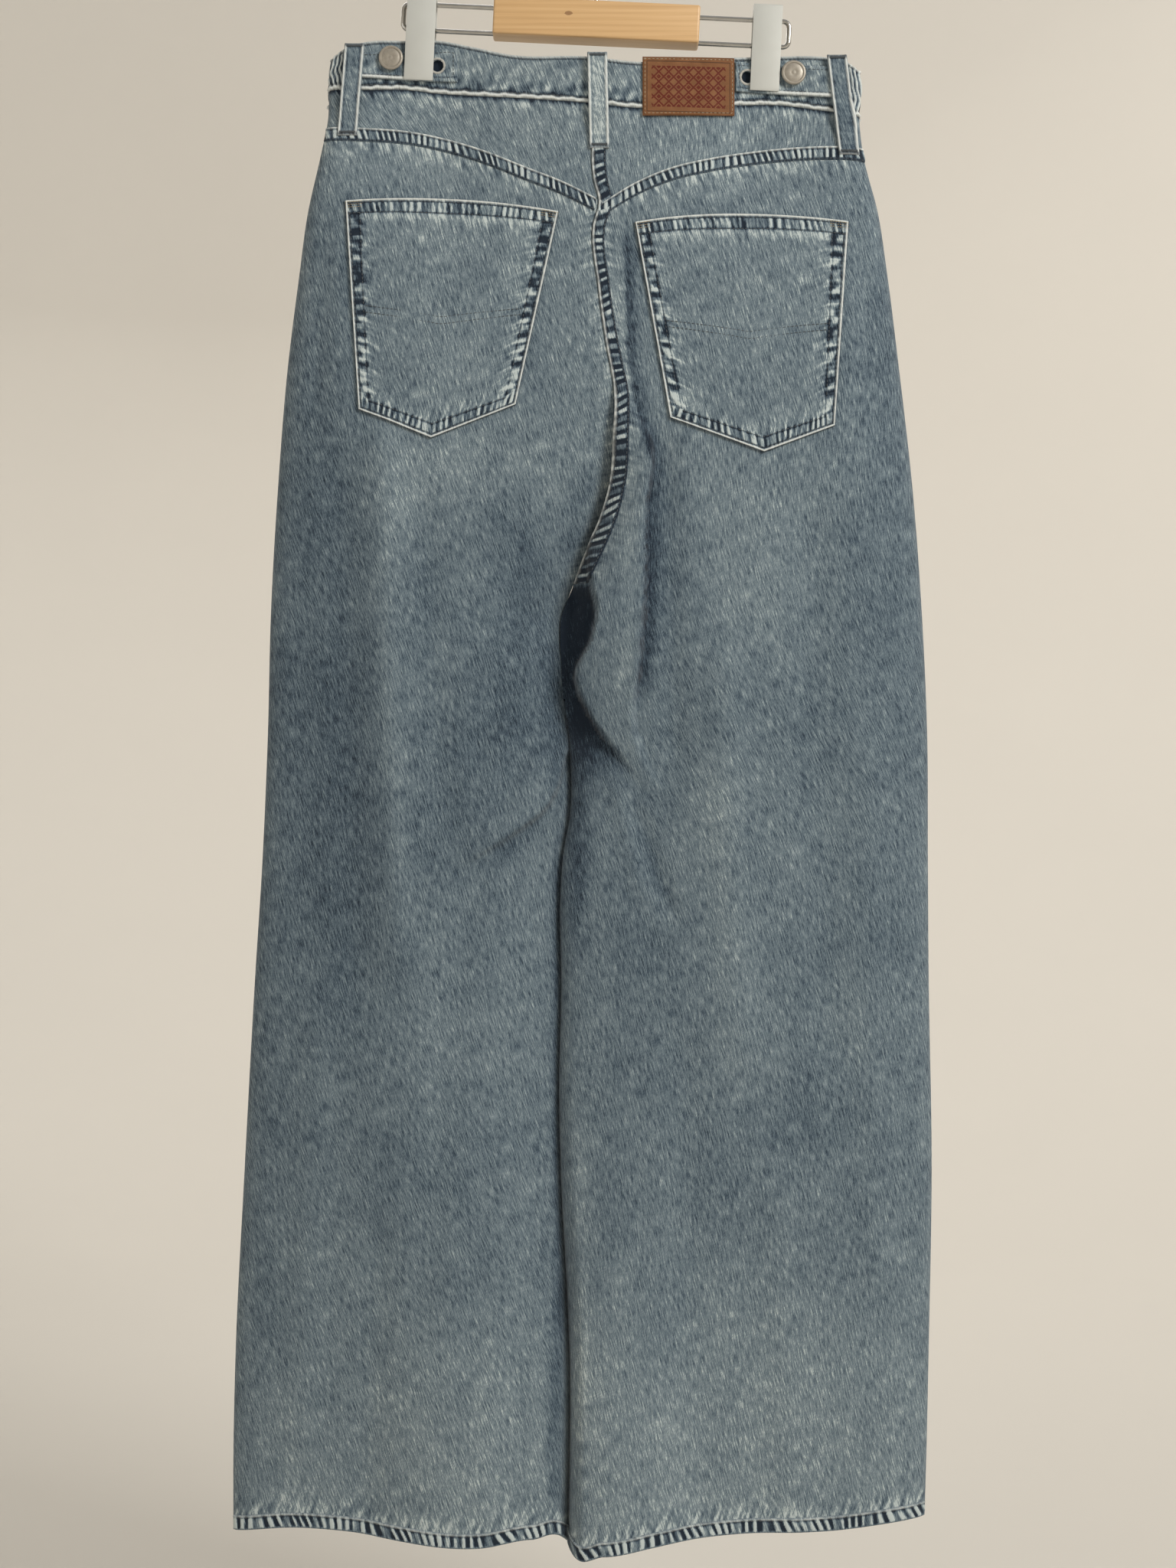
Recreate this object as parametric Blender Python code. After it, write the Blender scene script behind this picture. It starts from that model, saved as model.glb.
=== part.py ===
"""Baggy jeans hung by the waistband from a wooden clip hanger, with their back to the viewer.

Units are metres and +Z is up. +X runs to the viewer's right and the back of the jeans faces -Y,
so the wearer's left leg is at -X. The origin is the inside of the hook's crown, where it lies on a rail.

Two words are used all through:
  across  the distance along X
  drop    the distance below the origin, so z = -drop

The cloth hangs as two layers, a back and a front, on each side of the plane y = 0. A layer's shape is
its depth: how far its outer face stands from that plane at a given across and drop. Each cut piece is
a grid of points on its layer, given a wall, and what is sewn onto a piece takes that piece's points,
moved out.
"""

import math

import bmesh
import bpy
import numpy as np
from mathutils import Matrix, Vector

# ---------------------------------------------------------------- sizes
GAP = 0.0003  # between pieces that touch
ON_CLOTH = 0.0006  # under a piece that lies on a curved panel
DENIM = 0.0014  # wall of one layer of denim
BAND = 0.0024  # wall of the waistband, which is folded double
BAND_LIFT = 0.0006  # how far the waistband's face stands out from the yoke's
TAB = 0.0018  # wall of the waist tabs
LOOP = 0.0020  # wall of a belt loop
LEATHER = 0.0016
LEFT, RIGHT = -1, 1
BACK, FRONT = -1, 1

CROTCH_DROP = 0.491
CLIP_WIDTH = 0.0204
CLIP_SHEET = 0.0015
WIRE_RADIUS = 0.00175
HANGER_TILT = math.radians(2.7)  # the right end hangs lower
BAR_DROP = 0.0933  # middle of the wooden bar
BAR_SIZE = (0.145, 0.020, 0.0265)
BORE_RADIUS = WIRE_RADIUS + GAP
BORE_DEPTH = 0.015
PAST_FACE = 0.001  # how far a cutter runs past the face that it starts from
RAIL_UP, RAIL_DOWN = 0.0073, -0.0108  # the wire's two rails, from the bar's middle
WIRE_REACH = 0.1378  # the wire's outer end, from the bar's middle
WIRE_BEND = 0.007  # radius of the wire's two corners
WIRE_LEAD = 0.004  # from the bar's end to the wire's first point outside it
HOOK_RADIUS = 0.020  # inside the hook's curve
HOOK_CURVE = (-38, 215)  # where the curve starts and ends, in degrees from +X towards +Z
HOOK_SEAT = 0.010  # how deep the hook's foot sits in the bar
HOOK_STEM_TOP = -0.058  # height where the straight stem ends


def table(columns, *rows):
    """A table whose columns are read by name. The first column is the one it is looked up by."""
    return dict(zip(columns.split(), np.array(rows, float).T))


def read(rows, column, at):
    """A table's column as a smooth curve through its rows, read at the given keys."""
    keys, values = rows[next(iter(rows))], rows[column]
    at = np.clip(at, keys[0], keys[-1])
    slopes = np.gradient(values, keys)
    i = np.clip(np.searchsorted(keys, at) - 1, 0, len(keys) - 2)
    span = keys[i + 1] - keys[i]
    s = (at - keys[i]) / span
    start = (1 + 2 * s) * (1 - s) ** 2 * values[i] + s * (1 - s) ** 2 * span * slopes[i]
    end = s**2 * (3 - 2 * s) * values[i + 1] + s**2 * (s - 1) * span * slopes[i + 1]
    return start + end


def ramp(value, start, end):
    """0 before start, 1 after end, and smooth between."""
    s = np.clip((value - start) / (end - start), 0, 1)
    return s * s * (3 - 2 * s)


def rounded(distance, reach):
    """A quarter circle from 0 at an edge to 1 at its reach."""
    return np.sqrt(1 - (1 - np.clip(distance / reach, 0, 1)) ** 2)


# ---------------------------------------------------------------- the outline, from the back
SIDES = table(
    "drop left right",
    (0.115, -0.1860, 0.1835),
    (0.131, -0.1880, 0.1860),
    (0.163, -0.1895, 0.1855),
    (0.185, -0.1940, 0.1880),
    (0.228, -0.2036, 0.1987),
    (0.271, -0.2095, 0.2052),
    (0.336, -0.2176, 0.2133),
    (0.422, -0.2246, 0.2230),
    (0.509, -0.2295, 0.2295),
    (0.595, -0.2317, 0.2333),
    (0.682, -0.2354, 0.2338),
    (0.768, -0.2408, 0.2344),
    (0.898, -0.2479, 0.2365),
    (1.027, -0.2543, 0.2344),
    (1.103, -0.2560, 0.2327),
    (1.156, -0.2560, 0.2311),
)
SEAT_SEAM = table(
    "drop across",
    (0.150, -0.0020),
    (0.210, -0.0020),
    (0.222, 0.0010),
    (0.240, -0.0030),
    (0.282, 0.0005),
    (0.321, 0.0058),
    (0.360, 0.0122),
    (0.390, 0.0116),
    (0.414, 0.0100),
    (0.440, 0.0037),
    (0.473, -0.0102),
    (0.491, -0.0167),
)
FRONT_SEAM = table(
    "drop across",
    (0.150, -0.0030),
    (0.300, -0.0040),
    (0.420, -0.0090),
    (0.491, -0.0167),
)
BETWEEN_LEGS = table(  # where the legs' inner edges meet on the middle plane, and how far apart they lie
    "drop across apart",
    (0.491, -0.0167, 0.0003),
    (0.498, -0.0197, 0.0006),
    (0.509, -0.0241, 0.0009),
    (0.526, -0.0246, 0.0009),
    (0.547, -0.0234, 0.0008),
    (0.576, -0.0226, 0.0008),
    (0.598, -0.0200, 0.0008),
    (0.651, -0.0190, 0.0008),
    (0.679, -0.0237, 0.0008),
    (0.706, -0.0257, 0.0008),
    (0.772, -0.0251, 0.0008),
    (0.840, -0.0267, 0.0008),
    (0.920, -0.0251, 0.0008),
    (0.979, -0.0219, 0.0008),
    (1.020, -0.0203, 0.0008),
    (1.156, -0.0211, 0.0008),
)
WAIST = table(  # the waistband's two edges, on the back
    "across top bottom",
    (-0.186, 0.1190, 0.1416),
    (-0.174, 0.1110, 0.1416),
    (-0.161, 0.1078, 0.1416),
    (-0.134, 0.1066, 0.1410),
    (-0.111, 0.1065, 0.1437),
    (-0.087, 0.1117, 0.1459),
    (-0.060, 0.1180, 0.1480),
    (-0.008, 0.1200, 0.1523),
    (0.032, 0.1236, 0.1561),
    (0.065, 0.1212, 0.1545),
    (0.097, 0.1187, 0.1523),
    (0.128, 0.1175, 0.1518),
    (0.161, 0.1187, 0.1566),
    (0.175, 0.1215, 0.1585),
    (0.184, 0.1275, 0.1599),
)
YOKE_POINT = 0.0040  # across of the point where the yoke's two curves meet
YOKE_LEFT = table(
    "across drop",
    (-0.194, 0.1680),
    (-0.1675, 0.1688),
    (-0.127, 0.1717),
    (-0.101, 0.1779),
    (-0.075, 0.1870),
    (-0.049, 0.1980),
    (-0.024, 0.2082),
    (YOKE_POINT, 0.2224),
)
YOKE_RIGHT = table(
    "across drop",
    (YOKE_POINT, 0.2235),
    (0.027, 0.2093),
    (0.053, 0.1980),
    (0.079, 0.1913),
    (0.1045, 0.1865),
    (0.130, 0.1835),
    (0.166, 0.1822),
    (0.190, 0.1830),
)
HEM = table(
    "across drop",
    (-0.256, 1.1545),
    (-0.213, 1.1485),
    (-0.182, 1.1484),
    (-0.133, 1.1525),
    (-0.106, 1.1546),
    (-0.081, 1.1549),
    (-0.045, 1.1512),
    (-0.0215, 1.1546),
    (-0.018, 1.1600),
    (0.005, 1.1606),
    (0.038, 1.1560),
    (0.060, 1.1539),
    (0.098, 1.1519),
    (0.163, 1.1506),
    (0.200, 1.1471),
    (0.232, 1.1440),
)

# ---------------------------------------------------------------- the depth of the two layers
BOW_FADE = (0.150, 0.280)  # the drops between which the waist's own bow fades out
SWELL_EDGE = {"side": 0.030, "inner": 0.012}  # the widths over which a swell dies away at a leg's edges
FULLNESS = table(  # how deep each layer is, and over what width it rounds down to the side seam
    "drop back front reach",
    (0.150, 0.0080, 0.0080, 0.007),
    (0.220, 0.0140, 0.0130, 0.020),
    (0.300, 0.0190, 0.0170, 0.040),
    (0.390, 0.0235, 0.0210, 0.060),
    (0.491, 0.0250, 0.0230, 0.075),
    (0.600, 0.0250, 0.0240, 0.085),
    (0.800, 0.0230, 0.0230, 0.090),
    (1.000, 0.0220, 0.0220, 0.090),
    (1.160, 0.0180, 0.0190, 0.080),
)
WAIST_BOW = table(  # the waist stands open between the clips, which press it flat
    "across depth",
    (-0.186, 0.0050),
    (-0.160, 0.0045),
    (-0.134, 0.0026),
    (-0.111, 0.0026),
    (-0.080, 0.0060),
    (0.000, 0.0110),
    (0.080, 0.0060),
    (0.108, 0.0026),
    (0.131, 0.0026),
    (0.160, 0.0045),
    (0.184, 0.0050),
)
SWELLS = table(  # soft ridges and troughs in the back layer
    "across drop rise half_across half_drop",
    (-0.092, 1.170, 0.024, 0.070, 0.300),  # the hem of the left leg stands out towards its inner edge
    (0.012, 1.180, 0.024, 0.055, 0.260),  # and that of the right leg close to its inner edge
    (-0.145, 0.620, 0.004, 0.040, 0.260),
    (-0.198, 0.560, -0.004, 0.030, 0.240),
    (0.090, 0.760, 0.005, 0.045, 0.240),
    (0.045, 0.640, -0.004, 0.030, 0.090),
    (-0.120, 0.900, 0.003, 0.050, 0.200),
)
FRONT_SWELLS = table(
    "across drop rise half_across half_drop",
    (-0.150, 1.170, 0.016, 0.070, 0.300),
    (0.110, 1.170, 0.016, 0.070, 0.300),
    (-0.110, 0.620, 0.004, 0.050, 0.260),
    (0.120, 0.640, 0.004, 0.050, 0.260),
)
VALLEY_REACH = {LEFT: 0.030, RIGHT: 0.016}  # how fast each side falls to the seat seam near the crotch
VALLEY_START = 0.335
LEG_SPLIT = 0.070  # below the crotch each leg rounds into its own tube over this drop
LAP = table(  # the flap of spare cloth at the right leg's inner thigh
    "drop start crest rise",
    (0.350, 0.0120, 0.0190, 0.0000),
    (0.367, 0.0120, 0.0228, 0.0030),
    (0.391, 0.0120, 0.0360, 0.0060),
    (0.411, 0.0100, 0.0370, 0.0070),
    (0.427, 0.0060, 0.0335, 0.0075),
    (0.455, -0.0030, 0.0322, 0.0085),
    (0.493, -0.0040, 0.0318, 0.0095),
    (0.507, -0.0010, 0.0312, 0.0100),
    (0.528, -0.0040, 0.0293, 0.0100),
    (0.553, -0.0150, 0.0275, 0.0090),
    (0.579, -0.0070, 0.0240, 0.0070),
    (0.601, 0.0075, 0.0270, 0.0045),
    (0.614, 0.0185, 0.0320, 0.0020),
    (0.640, 0.0400, 0.0500, 0.0000),
)
LAP_EDGE = 0.008  # width of the flap's steep sides
DRAG = table(  # the drag line that runs down and out from the left leg's inner edge
    "across drop rise",
    (-0.100, 0.688, 0.0000),
    (-0.068, 0.669, 0.0035),
    (-0.050, 0.657, 0.0050),
    (-0.0315, 0.639, 0.0060),
    (-0.0257, 0.627, 0.0055),
    (-0.0210, 0.606, 0.0040),
)
DRAG_EDGE = 0.009
DRAG_FADE = 0.060


def seam_across(layer, drop):
    return read(SEAT_SEAM if layer == BACK else FRONT_SEAM, "across", drop)


def outer_edge(side, drop):
    return read(SIDES, "left" if side == LEFT else "right", drop)


def inner_edge(layer, side, drop):
    """The centre seam above the crotch, and the leg's own inner edge below it."""
    seam = seam_across(layer, drop) + side * GAP / 2
    leg = read(BETWEEN_LEGS, "across", drop) + side * read(BETWEEN_LEGS, "apart", drop) / 2
    return np.where(drop < CROTCH_DROP, seam, leg)


def swell(rows, across, drop):
    """The sum of the soft ridges and troughs in a table."""
    total = np.zeros(np.broadcast(across, drop).shape)
    for x, d, rise, half_x, half_d in zip(*rows.values()):
        total += rise * np.exp(-(((across - x) / half_x) ** 2) - ((drop - d) / half_d) ** 2)
    return total


def lap(across, drop):
    start, crest = read(LAP, "start", drop), read(LAP, "crest", drop)
    up = ramp(across, start - LAP_EDGE / 2, start + LAP_EDGE / 2)
    down = ramp(across, crest, crest + LAP_EDGE)
    return np.maximum(read(LAP, "rise", drop), 0) * up * (1 - down)


def drag(across, drop):
    line = read(DRAG, "drop", across)
    above = np.exp(-np.maximum(line - drop, 0) / DRAG_FADE)
    below = 1 - ramp(drop, line, line + DRAG_EDGE)
    return np.maximum(read(DRAG, "rise", across), 0) * above * below


def depth(layer, side, across, drop):
    """How far a layer's outer face stands from the middle plane."""
    left, right = read(SIDES, "left", drop), read(SIDES, "right", drop)
    full = read(FULLNESS, "back" if layer == BACK else "front", drop)
    reach = read(FULLNESS, "reach", drop)
    bow = read(WAIST_BOW, "depth", across) - FULLNESS["back"][0]
    to_side = np.minimum(across - left, right - across)
    inner = inner_edge(layer, side, drop)
    to_inner = np.maximum(side * (across - inner), 0)
    sink = ramp(drop, VALLEY_START, CROTCH_DROP)
    valley = 1 - sink * np.exp(-to_inner / VALLEY_REACH[side])
    body = (full + bow * (1 - ramp(drop, *BOW_FADE))) * rounded(to_side, reach) * valley
    leg = full * rounded(to_side, reach) * rounded(to_inner, reach)
    split = ramp(drop, CROTCH_DROP, CROTCH_DROP + LEG_SPLIT)
    plain = body + (leg - body) * split
    own = swell(SWELLS if layer == BACK else FRONT_SWELLS, across, drop)
    if layer == BACK:
        own = own + (lap(across, drop) if side == RIGHT else drag(across, drop))
    share = rounded(to_side, SWELL_EDGE["side"])
    share = share * np.where(drop < CROTCH_DROP, 1, rounded(to_inner, SWELL_EDGE["inner"]))
    return np.maximum(plain + own * share, GAP / 2)


def layer_points(layer, side, across, drop):
    return np.stack([across, layer * depth(layer, side, across, drop), -drop], axis=-1)


def even(count):
    return np.linspace(0, 1, count + 1)


def close_at_ends(count):
    """Levels from 0 to 1 that crowd towards both ends, where the cloth turns round."""
    return (1 - np.cos(math.pi * even(count))) / 2


def panel_points(layer, side, top, bottom, columns, rows):
    """Points from the inner edge to the outer one, between two edges that are functions of across."""
    share, level = np.meshgrid(columns, rows)
    drop = np.full(share.shape, CROTCH_DROP / 2)
    for _ in range(8):  # the edges depend on the drop and the drop on the edges, so they are settled in turns
        inner, outer = inner_edge(layer, side, drop), outer_edge(side, drop)
        across = inner + (outer - inner) * share
        drop = top(across) + (bottom(across) - top(across)) * level
    return layer_points(layer, side, across, drop)


# ---------------------------------------------------------------- edges of the pieces
def yoke_seam(across):
    return np.where(
        across < YOKE_POINT, read(YOKE_LEFT, "drop", across), read(YOKE_RIGHT, "drop", across)
    )


FRONT_DIP = {"depth": 0.009, "flat": 0.02, "end": 0.10}  # the front waist is lower than the back's
FRONT_BAND_WIDTH = 0.035
POCKET_MOUTH = {"width": 0.100, "fall": 0.088, "side_drop": 0.23}  # from the waistband to the side seam
TUCK = 0.008  # how far the cloth behind a pocket's mouth goes under the panel
FRONT_HALF = 0.196  # across half the front, at the pocket mouths


def front_waist_top(across):
    dip = 1 - ramp(np.abs(across), FRONT_DIP["flat"], FRONT_DIP["end"])
    return read(WAIST, "top", across) + FRONT_DIP["depth"] * dip


def front_waist_bottom(across):
    return front_waist_top(across) + FRONT_BAND_WIDTH


def front_top(side):
    """The front panel's top edge: the waistband, then the curve of the pocket mouth down to the side seam."""

    def edge(across):
        side_seam = outer_edge(side, np.full(np.shape(across), POCKET_MOUTH["side_drop"]))
        to_side = np.clip(side * (side_seam - across) / POCKET_MOUTH["width"], 0, 1)
        return front_waist_bottom(across) + GAP + POCKET_MOUTH["fall"] * np.sqrt(1 - to_side**2)

    return edge


# ---------------------------------------------------------------- making solids
def finish(name, colour, roughness, metallic=0.0):
    material = bpy.data.materials.new(name)
    material.use_nodes = True
    shader = material.node_tree.nodes["Principled BSDF"]
    shader.inputs["Base Color"].default_value = (*colour, 1)
    shader.inputs["Roughness"].default_value = roughness
    shader.inputs["Metallic"].default_value = metallic
    material.diffuse_color = (*colour, 1)
    return material


def place(obj, material, parent=None):
    if obj.name not in garment.objects:
        garment.objects.link(obj)
    obj.data.materials.clear()
    obj.data.materials.append(material)
    obj.parent = parent
    return obj


def outward_normals(grid, layer):
    """Unit normals of a grid of points that face away from the middle plane."""
    along = np.gradient(grid, axis=1)
    down = np.gradient(grid, axis=0)
    normals = np.cross(along, down)
    normals *= np.sign(normals[..., 1].mean() * layer)
    at_edge = np.abs(grid[..., 1]) < GAP
    normals[at_edge, 1] = 0
    return normals / np.linalg.norm(normals, axis=-1, keepdims=True)


def cloth(name, grid, layer, lift, wall, material):
    """A closed wall over a grid of a layer's points. Its inner face is lifted off them."""
    normals = outward_normals(grid, layer)
    lift = np.reshape(lift, (-1, 1, 1))
    inner = grid + normals * lift
    outer = grid + normals * (lift + wall)
    for face in (inner, outer):  # no wall crosses the middle plane
        face[..., 1] = layer * np.maximum(layer * face[..., 1], GAP / 2)
    rows, columns = grid.shape[:2]
    mesh = bmesh.new()
    points = [[[mesh.verts.new(p) for p in row] for row in face] for face in (outer, inner)]
    for face in points:
        for i in range(rows - 1):
            for j in range(columns - 1):
                mesh.faces.new((face[i][j], face[i][j + 1], face[i + 1][j + 1], face[i + 1][j]))
    outside, inside = points
    rim = [(0, j) for j in range(columns - 1)] + [(i, columns - 1) for i in range(rows - 1)]
    rim += [(rows - 1, j) for j in range(columns - 1, 0, -1)] + [(i, 0) for i in range(rows - 1, 0, -1)]
    for (i, j), (k, m) in zip(rim, rim[1:] + rim[:1]):
        mesh.faces.new((outside[i][j], outside[k][m], inside[k][m], inside[i][j]))
    bmesh.ops.recalc_face_normals(mesh, faces=mesh.faces)
    data = bpy.data.meshes.new(name)
    mesh.to_mesh(data)
    mesh.free()
    data.shade_smooth()
    data.set_sharp_from_angle(angle=math.radians(50))
    return place(bpy.data.objects.new(name, data), material)


def between(top, bottom, left, right, columns, rows):
    """Flat points (across, drop) inside four edges, each a function of a share from 0 to 1."""
    share, level = np.meshgrid(columns, rows)
    u, v = share[..., None], level[..., None]
    corners = (1 - u) * (1 - v) * top(np.zeros(1)) + u * (1 - v) * top(np.ones(1))
    corners = corners + (1 - u) * v * bottom(np.zeros(1)) + u * v * bottom(np.ones(1))
    return (1 - v) * top(share) + v * bottom(share) + (1 - u) * left(level) + u * right(level) - corners


def through(*points):
    """An edge made of straight runs through evenly shared points."""
    xy = np.array(points, float)
    knots = np.linspace(0, 1, len(xy))
    return lambda s: np.stack([np.interp(s, knots, xy[:, 0]), np.interp(s, knots, xy[:, 1])], axis=-1)


def arched(start, middle, end):
    """An edge that bends through its middle point."""
    a, b, c = (np.array(p, float) for p in (start, middle, end))
    pull = 2 * b - (a + c) / 2

    def edge(s):
        s = np.asarray(s)[..., None]
        return (1 - s) ** 2 * a + 2 * s * (1 - s) * pull + s**2 * c

    return edge


def four_sided(top_left, top_right, bottom_right, bottom_left, columns, rows):
    return between(
        through(top_left, top_right),
        through(bottom_left, bottom_right),
        through(top_left, bottom_left),
        through(top_right, bottom_right),
        columns,
        rows,
    )


def on_layer(layer, flat):
    """A layer's points under flat (across, drop) points, read as the side that most of them lie on."""
    across, drop = flat[..., 0], flat[..., 1]
    side = LEFT if across.mean() < 0 else RIGHT
    return layer_points(layer, side, across, drop)


def box(name, size, centre, material, parent=None):
    mesh = bmesh.new()
    bmesh.ops.create_cube(mesh, size=1, matrix=Matrix.Translation(centre) @ Matrix.Diagonal((*size, 1)))
    data = bpy.data.meshes.new(name)
    mesh.to_mesh(data)
    mesh.free()
    return place(bpy.data.objects.new(name, data), material, parent)


def bar_curve(name, points, radius, material, parent=None):
    """A round wire through points, with filled ends."""
    curve = bpy.data.curves.new(name, "CURVE")
    curve.dimensions = "3D"
    curve.bevel_depth = radius
    curve.bevel_resolution = 2
    curve.use_fill_caps = True
    spline = curve.splines.new("POLY")
    spline.points.add(len(points) - 1)
    for point, place_at in zip(spline.points, points):
        point.co = (*place_at, 1)
    return place(bpy.data.objects.new(name, curve), material, parent)


def cutter(name, radius, length, start, direction):
    """A hidden cylinder that runs from start along direction."""
    mesh = bmesh.new()
    bmesh.ops.create_cone(
        mesh, cap_ends=True, segments=16, radius1=radius, radius2=radius, depth=length
    )
    data = bpy.data.meshes.new(name)
    mesh.to_mesh(data)
    mesh.free()
    obj = bpy.data.objects.new(name, data)
    turn = Vector((0, 0, 1)).rotation_difference(Vector(direction))
    middle = Vector(start) + Vector(direction).normalized() * length / 2
    obj.matrix_world = Matrix.Translation(middle) @ turn.to_matrix().to_4x4()
    obj.hide_render = True
    obj.display_type = "WIRE"
    cutters.objects.link(obj)
    return obj


def cut(obj, tool):
    boolean = obj.modifiers.new(tool.name, "BOOLEAN")
    boolean.operation = "DIFFERENCE"
    boolean.object = tool


def stud(name, centre, facing, radius, height, material):
    """A metal button: a turned disc with a rounded rim and a shallow dish, its foot towards the cloth."""
    rim, dish, foot = 0.0007, 0.0004, 0.0008
    profile = [(0, height - dish), (radius * 0.72, height - dish), (radius * 0.80, height)]
    profile += [(radius - rim, height), (radius, height - rim), (radius, foot), (radius * 0.6, 0), (0, 0)]
    mesh = bmesh.new()
    points = [mesh.verts.new((x, 0, z)) for x, z in profile]
    for a, b in zip(points, points[1:]):
        mesh.edges.new((a, b))
    bmesh.ops.spin(
        mesh,
        geom=mesh.verts[:] + mesh.edges[:],
        axis=(0, 0, 1),
        cent=(0, 0, 0),
        steps=16,
        angle=math.tau,
    )
    bmesh.ops.remove_doubles(mesh, verts=mesh.verts, dist=1e-5)
    bmesh.ops.recalc_face_normals(mesh, faces=mesh.faces)
    data = bpy.data.meshes.new(name)
    mesh.to_mesh(data)
    mesh.free()
    obj = place(bpy.data.objects.new(name, data), material)
    obj.location = centre
    obj.rotation_euler = Vector((0, facing, 0)).to_track_quat("Z", "Y").to_euler()
    return obj


def arc(centre, radius, start, end, steps):
    """Points on an arc in the XZ plane. Angles are in degrees from +X towards +Z."""
    for angle in np.radians(np.linspace(start, end, steps)):
        yield (centre[0] + radius * math.cos(angle), 0, centre[1] + radius * math.sin(angle))


# ---------------------------------------------------------------- the jeans
PANEL_ROWS = {  # levels down a panel: close set over the seat and thighs, wide apart below the knee
    BACK: np.concatenate([np.linspace(0, 0.14, 5), np.linspace(0.16, 0.52, 20), np.linspace(0.56, 1, 11)]),
    FRONT: np.concatenate([np.linspace(0, 0.10, 6), np.linspace(0.14, 0.36, 6), np.linspace(0.41, 1, 12)]),
}
PANEL_COLUMNS = {BACK: 18, FRONT: 14}
NAMES = {LEFT: "left", RIGHT: "right"}
HEM_DROP = 1.150
FRONT_SHORTER = 0.002  # how much higher the front's hem hangs than the back's


def build_legs(denim):
    """The four panels. Each runs from the waist to its hem."""
    for side in (LEFT, RIGHT):

        def hem(across, side=side):
            inner = inner_edge(BACK, side, np.full(np.shape(across), HEM_DROP))
            beyond = np.maximum if side == RIGHT else np.minimum
            return read(HEM, "drop", beyond(across, inner))

        back = panel_points(
            BACK,
            side,
            lambda across: yoke_seam(across) + GAP,
            hem,
            close_at_ends(PANEL_COLUMNS[BACK]),
            PANEL_ROWS[BACK],
        )
        cloth(f"back_{NAMES[side]}", back, BACK, -DENIM, DENIM, denim)
        front = panel_points(
            FRONT,
            side,
            front_top(side),
            lambda across, hem=hem: hem(across) - FRONT_SHORTER,
            close_at_ends(PANEL_COLUMNS[FRONT]),
            PANEL_ROWS[FRONT],
        )
        cloth(f"front_{NAMES[side]}", front, FRONT, -DENIM, DENIM, denim)


def build_yokes(denim):
    for side in (LEFT, RIGHT):
        points = panel_points(
            BACK,
            side,
            lambda across: read(WAIST, "bottom", across) + GAP,
            yoke_seam,
            close_at_ends(PANEL_COLUMNS[BACK]),
            even(4),
        )
        cloth(f"yoke_{NAMES[side]}", points, BACK, -DENIM, DENIM, denim)


def waist_points(layer, top, bottom, rows):
    """Points of the whole width of the waist, in the same columns as the pieces sewn below it."""
    columns = close_at_ends(PANEL_COLUMNS[layer])
    left, right = (panel_points(layer, side, top, bottom, columns, rows) for side in (LEFT, RIGHT))
    return np.concatenate([left[:, ::-1], right[:, 1:]], axis=1)


def build_waistband(denim):
    edges = {
        BACK: (lambda x: read(WAIST, "top", x), lambda x: read(WAIST, "bottom", x)),
        FRONT: (front_waist_top, front_waist_bottom),
    }
    for layer, name in ((BACK, "waistband_back"), (FRONT, "waistband_front")):
        points = waist_points(layer, *edges[layer], even(2))
        cloth(name, points, layer, BAND_LIFT - BAND, BAND, denim)


TABS = {  # corners of the waist tabs: top left, top right, bottom right, bottom left
    LEFT: ((-0.176, 0.1165), (-0.0975, 0.1125), (-0.0975, 0.1365), (-0.176, 0.1330)),
    RIGHT: ((0.0975, 0.1222), (0.1735, 0.1265), (0.1735, 0.1480), (0.0975, 0.1428)),
}
BUTTONHOLES = {LEFT: (-0.1068, 0.1250), RIGHT: (0.1060, 0.1330)}
BUTTONHOLE_RADIUS = 0.0042
TAB_BUTTONS = {LEFT: (-0.1442, 0.1205), RIGHT: (0.1384, 0.1307)}
BUTTON_RADIUS, BUTTON_HEIGHT = 0.0086, 0.0030
OVER_BAND = BAND_LIFT + ON_CLOTH


def build_tabs(denim, metal):
    """The cinching tabs at the back of the waist, each buttoned on a stud beside a belt loop."""
    for side in (LEFT, RIGHT):
        points = on_layer(BACK, four_sided(*TABS[side], even(10), even(3)))
        tab = cloth(f"waist_tab_{NAMES[side]}", points, BACK, OVER_BAND, TAB, denim)
        across, drop = BUTTONHOLES[side]
        cut(tab, cutter(f"buttonhole_{NAMES[side]}", BUTTONHOLE_RADIUS, 0.03, (across, 0, -drop), (0, -1, 0)))
        across, drop = TAB_BUTTONS[side]
        face = surface_top(BACK, across, drop, BUTTON_RADIUS) + OVER_BAND + TAB + GAP
        stud(f"tab_button_{NAMES[side]}", (across, -face, -drop), BACK, BUTTON_RADIUS, BUTTON_HEIGHT, metal)


def surface_top(layer, across, drop, reach):
    """The furthest that a layer stands out within reach of a place."""
    x, d = np.meshgrid(across + reach * np.linspace(-1, 1, 9), drop + reach * np.linspace(-1, 1, 9))
    return float(depth(layer, LEFT if across < 0 else RIGHT, x, d).max())


LOOP_WIDTH = 0.0138
LOOP_BEND = (0.55, 0.92)  # the levels between which a belt loop comes back to the cloth
FRONT_LOOP_CLEARANCE = 0.001  # under a front loop, which has no tab to pass over
BACK_LOOPS = {  # the middle of each belt loop's two ends, as (across, drop)
    "left": ((-0.1696, 0.1105), (-0.1749, 0.1750)),
    "centre": ((0.0005, 0.1185), (0.0021, 0.1854)),
    "right": ((0.1687, 0.1185), (0.1770, 0.1887)),
}
FRONT_LOOPS = {
    "left": ((-0.0740, 0.1150), (-0.0750, 0.1780)),
    "right": ((0.0700, 0.1215), (0.0710, 0.1845)),
}
OVER_TAB = OVER_BAND + TAB + ON_CLOTH


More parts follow.
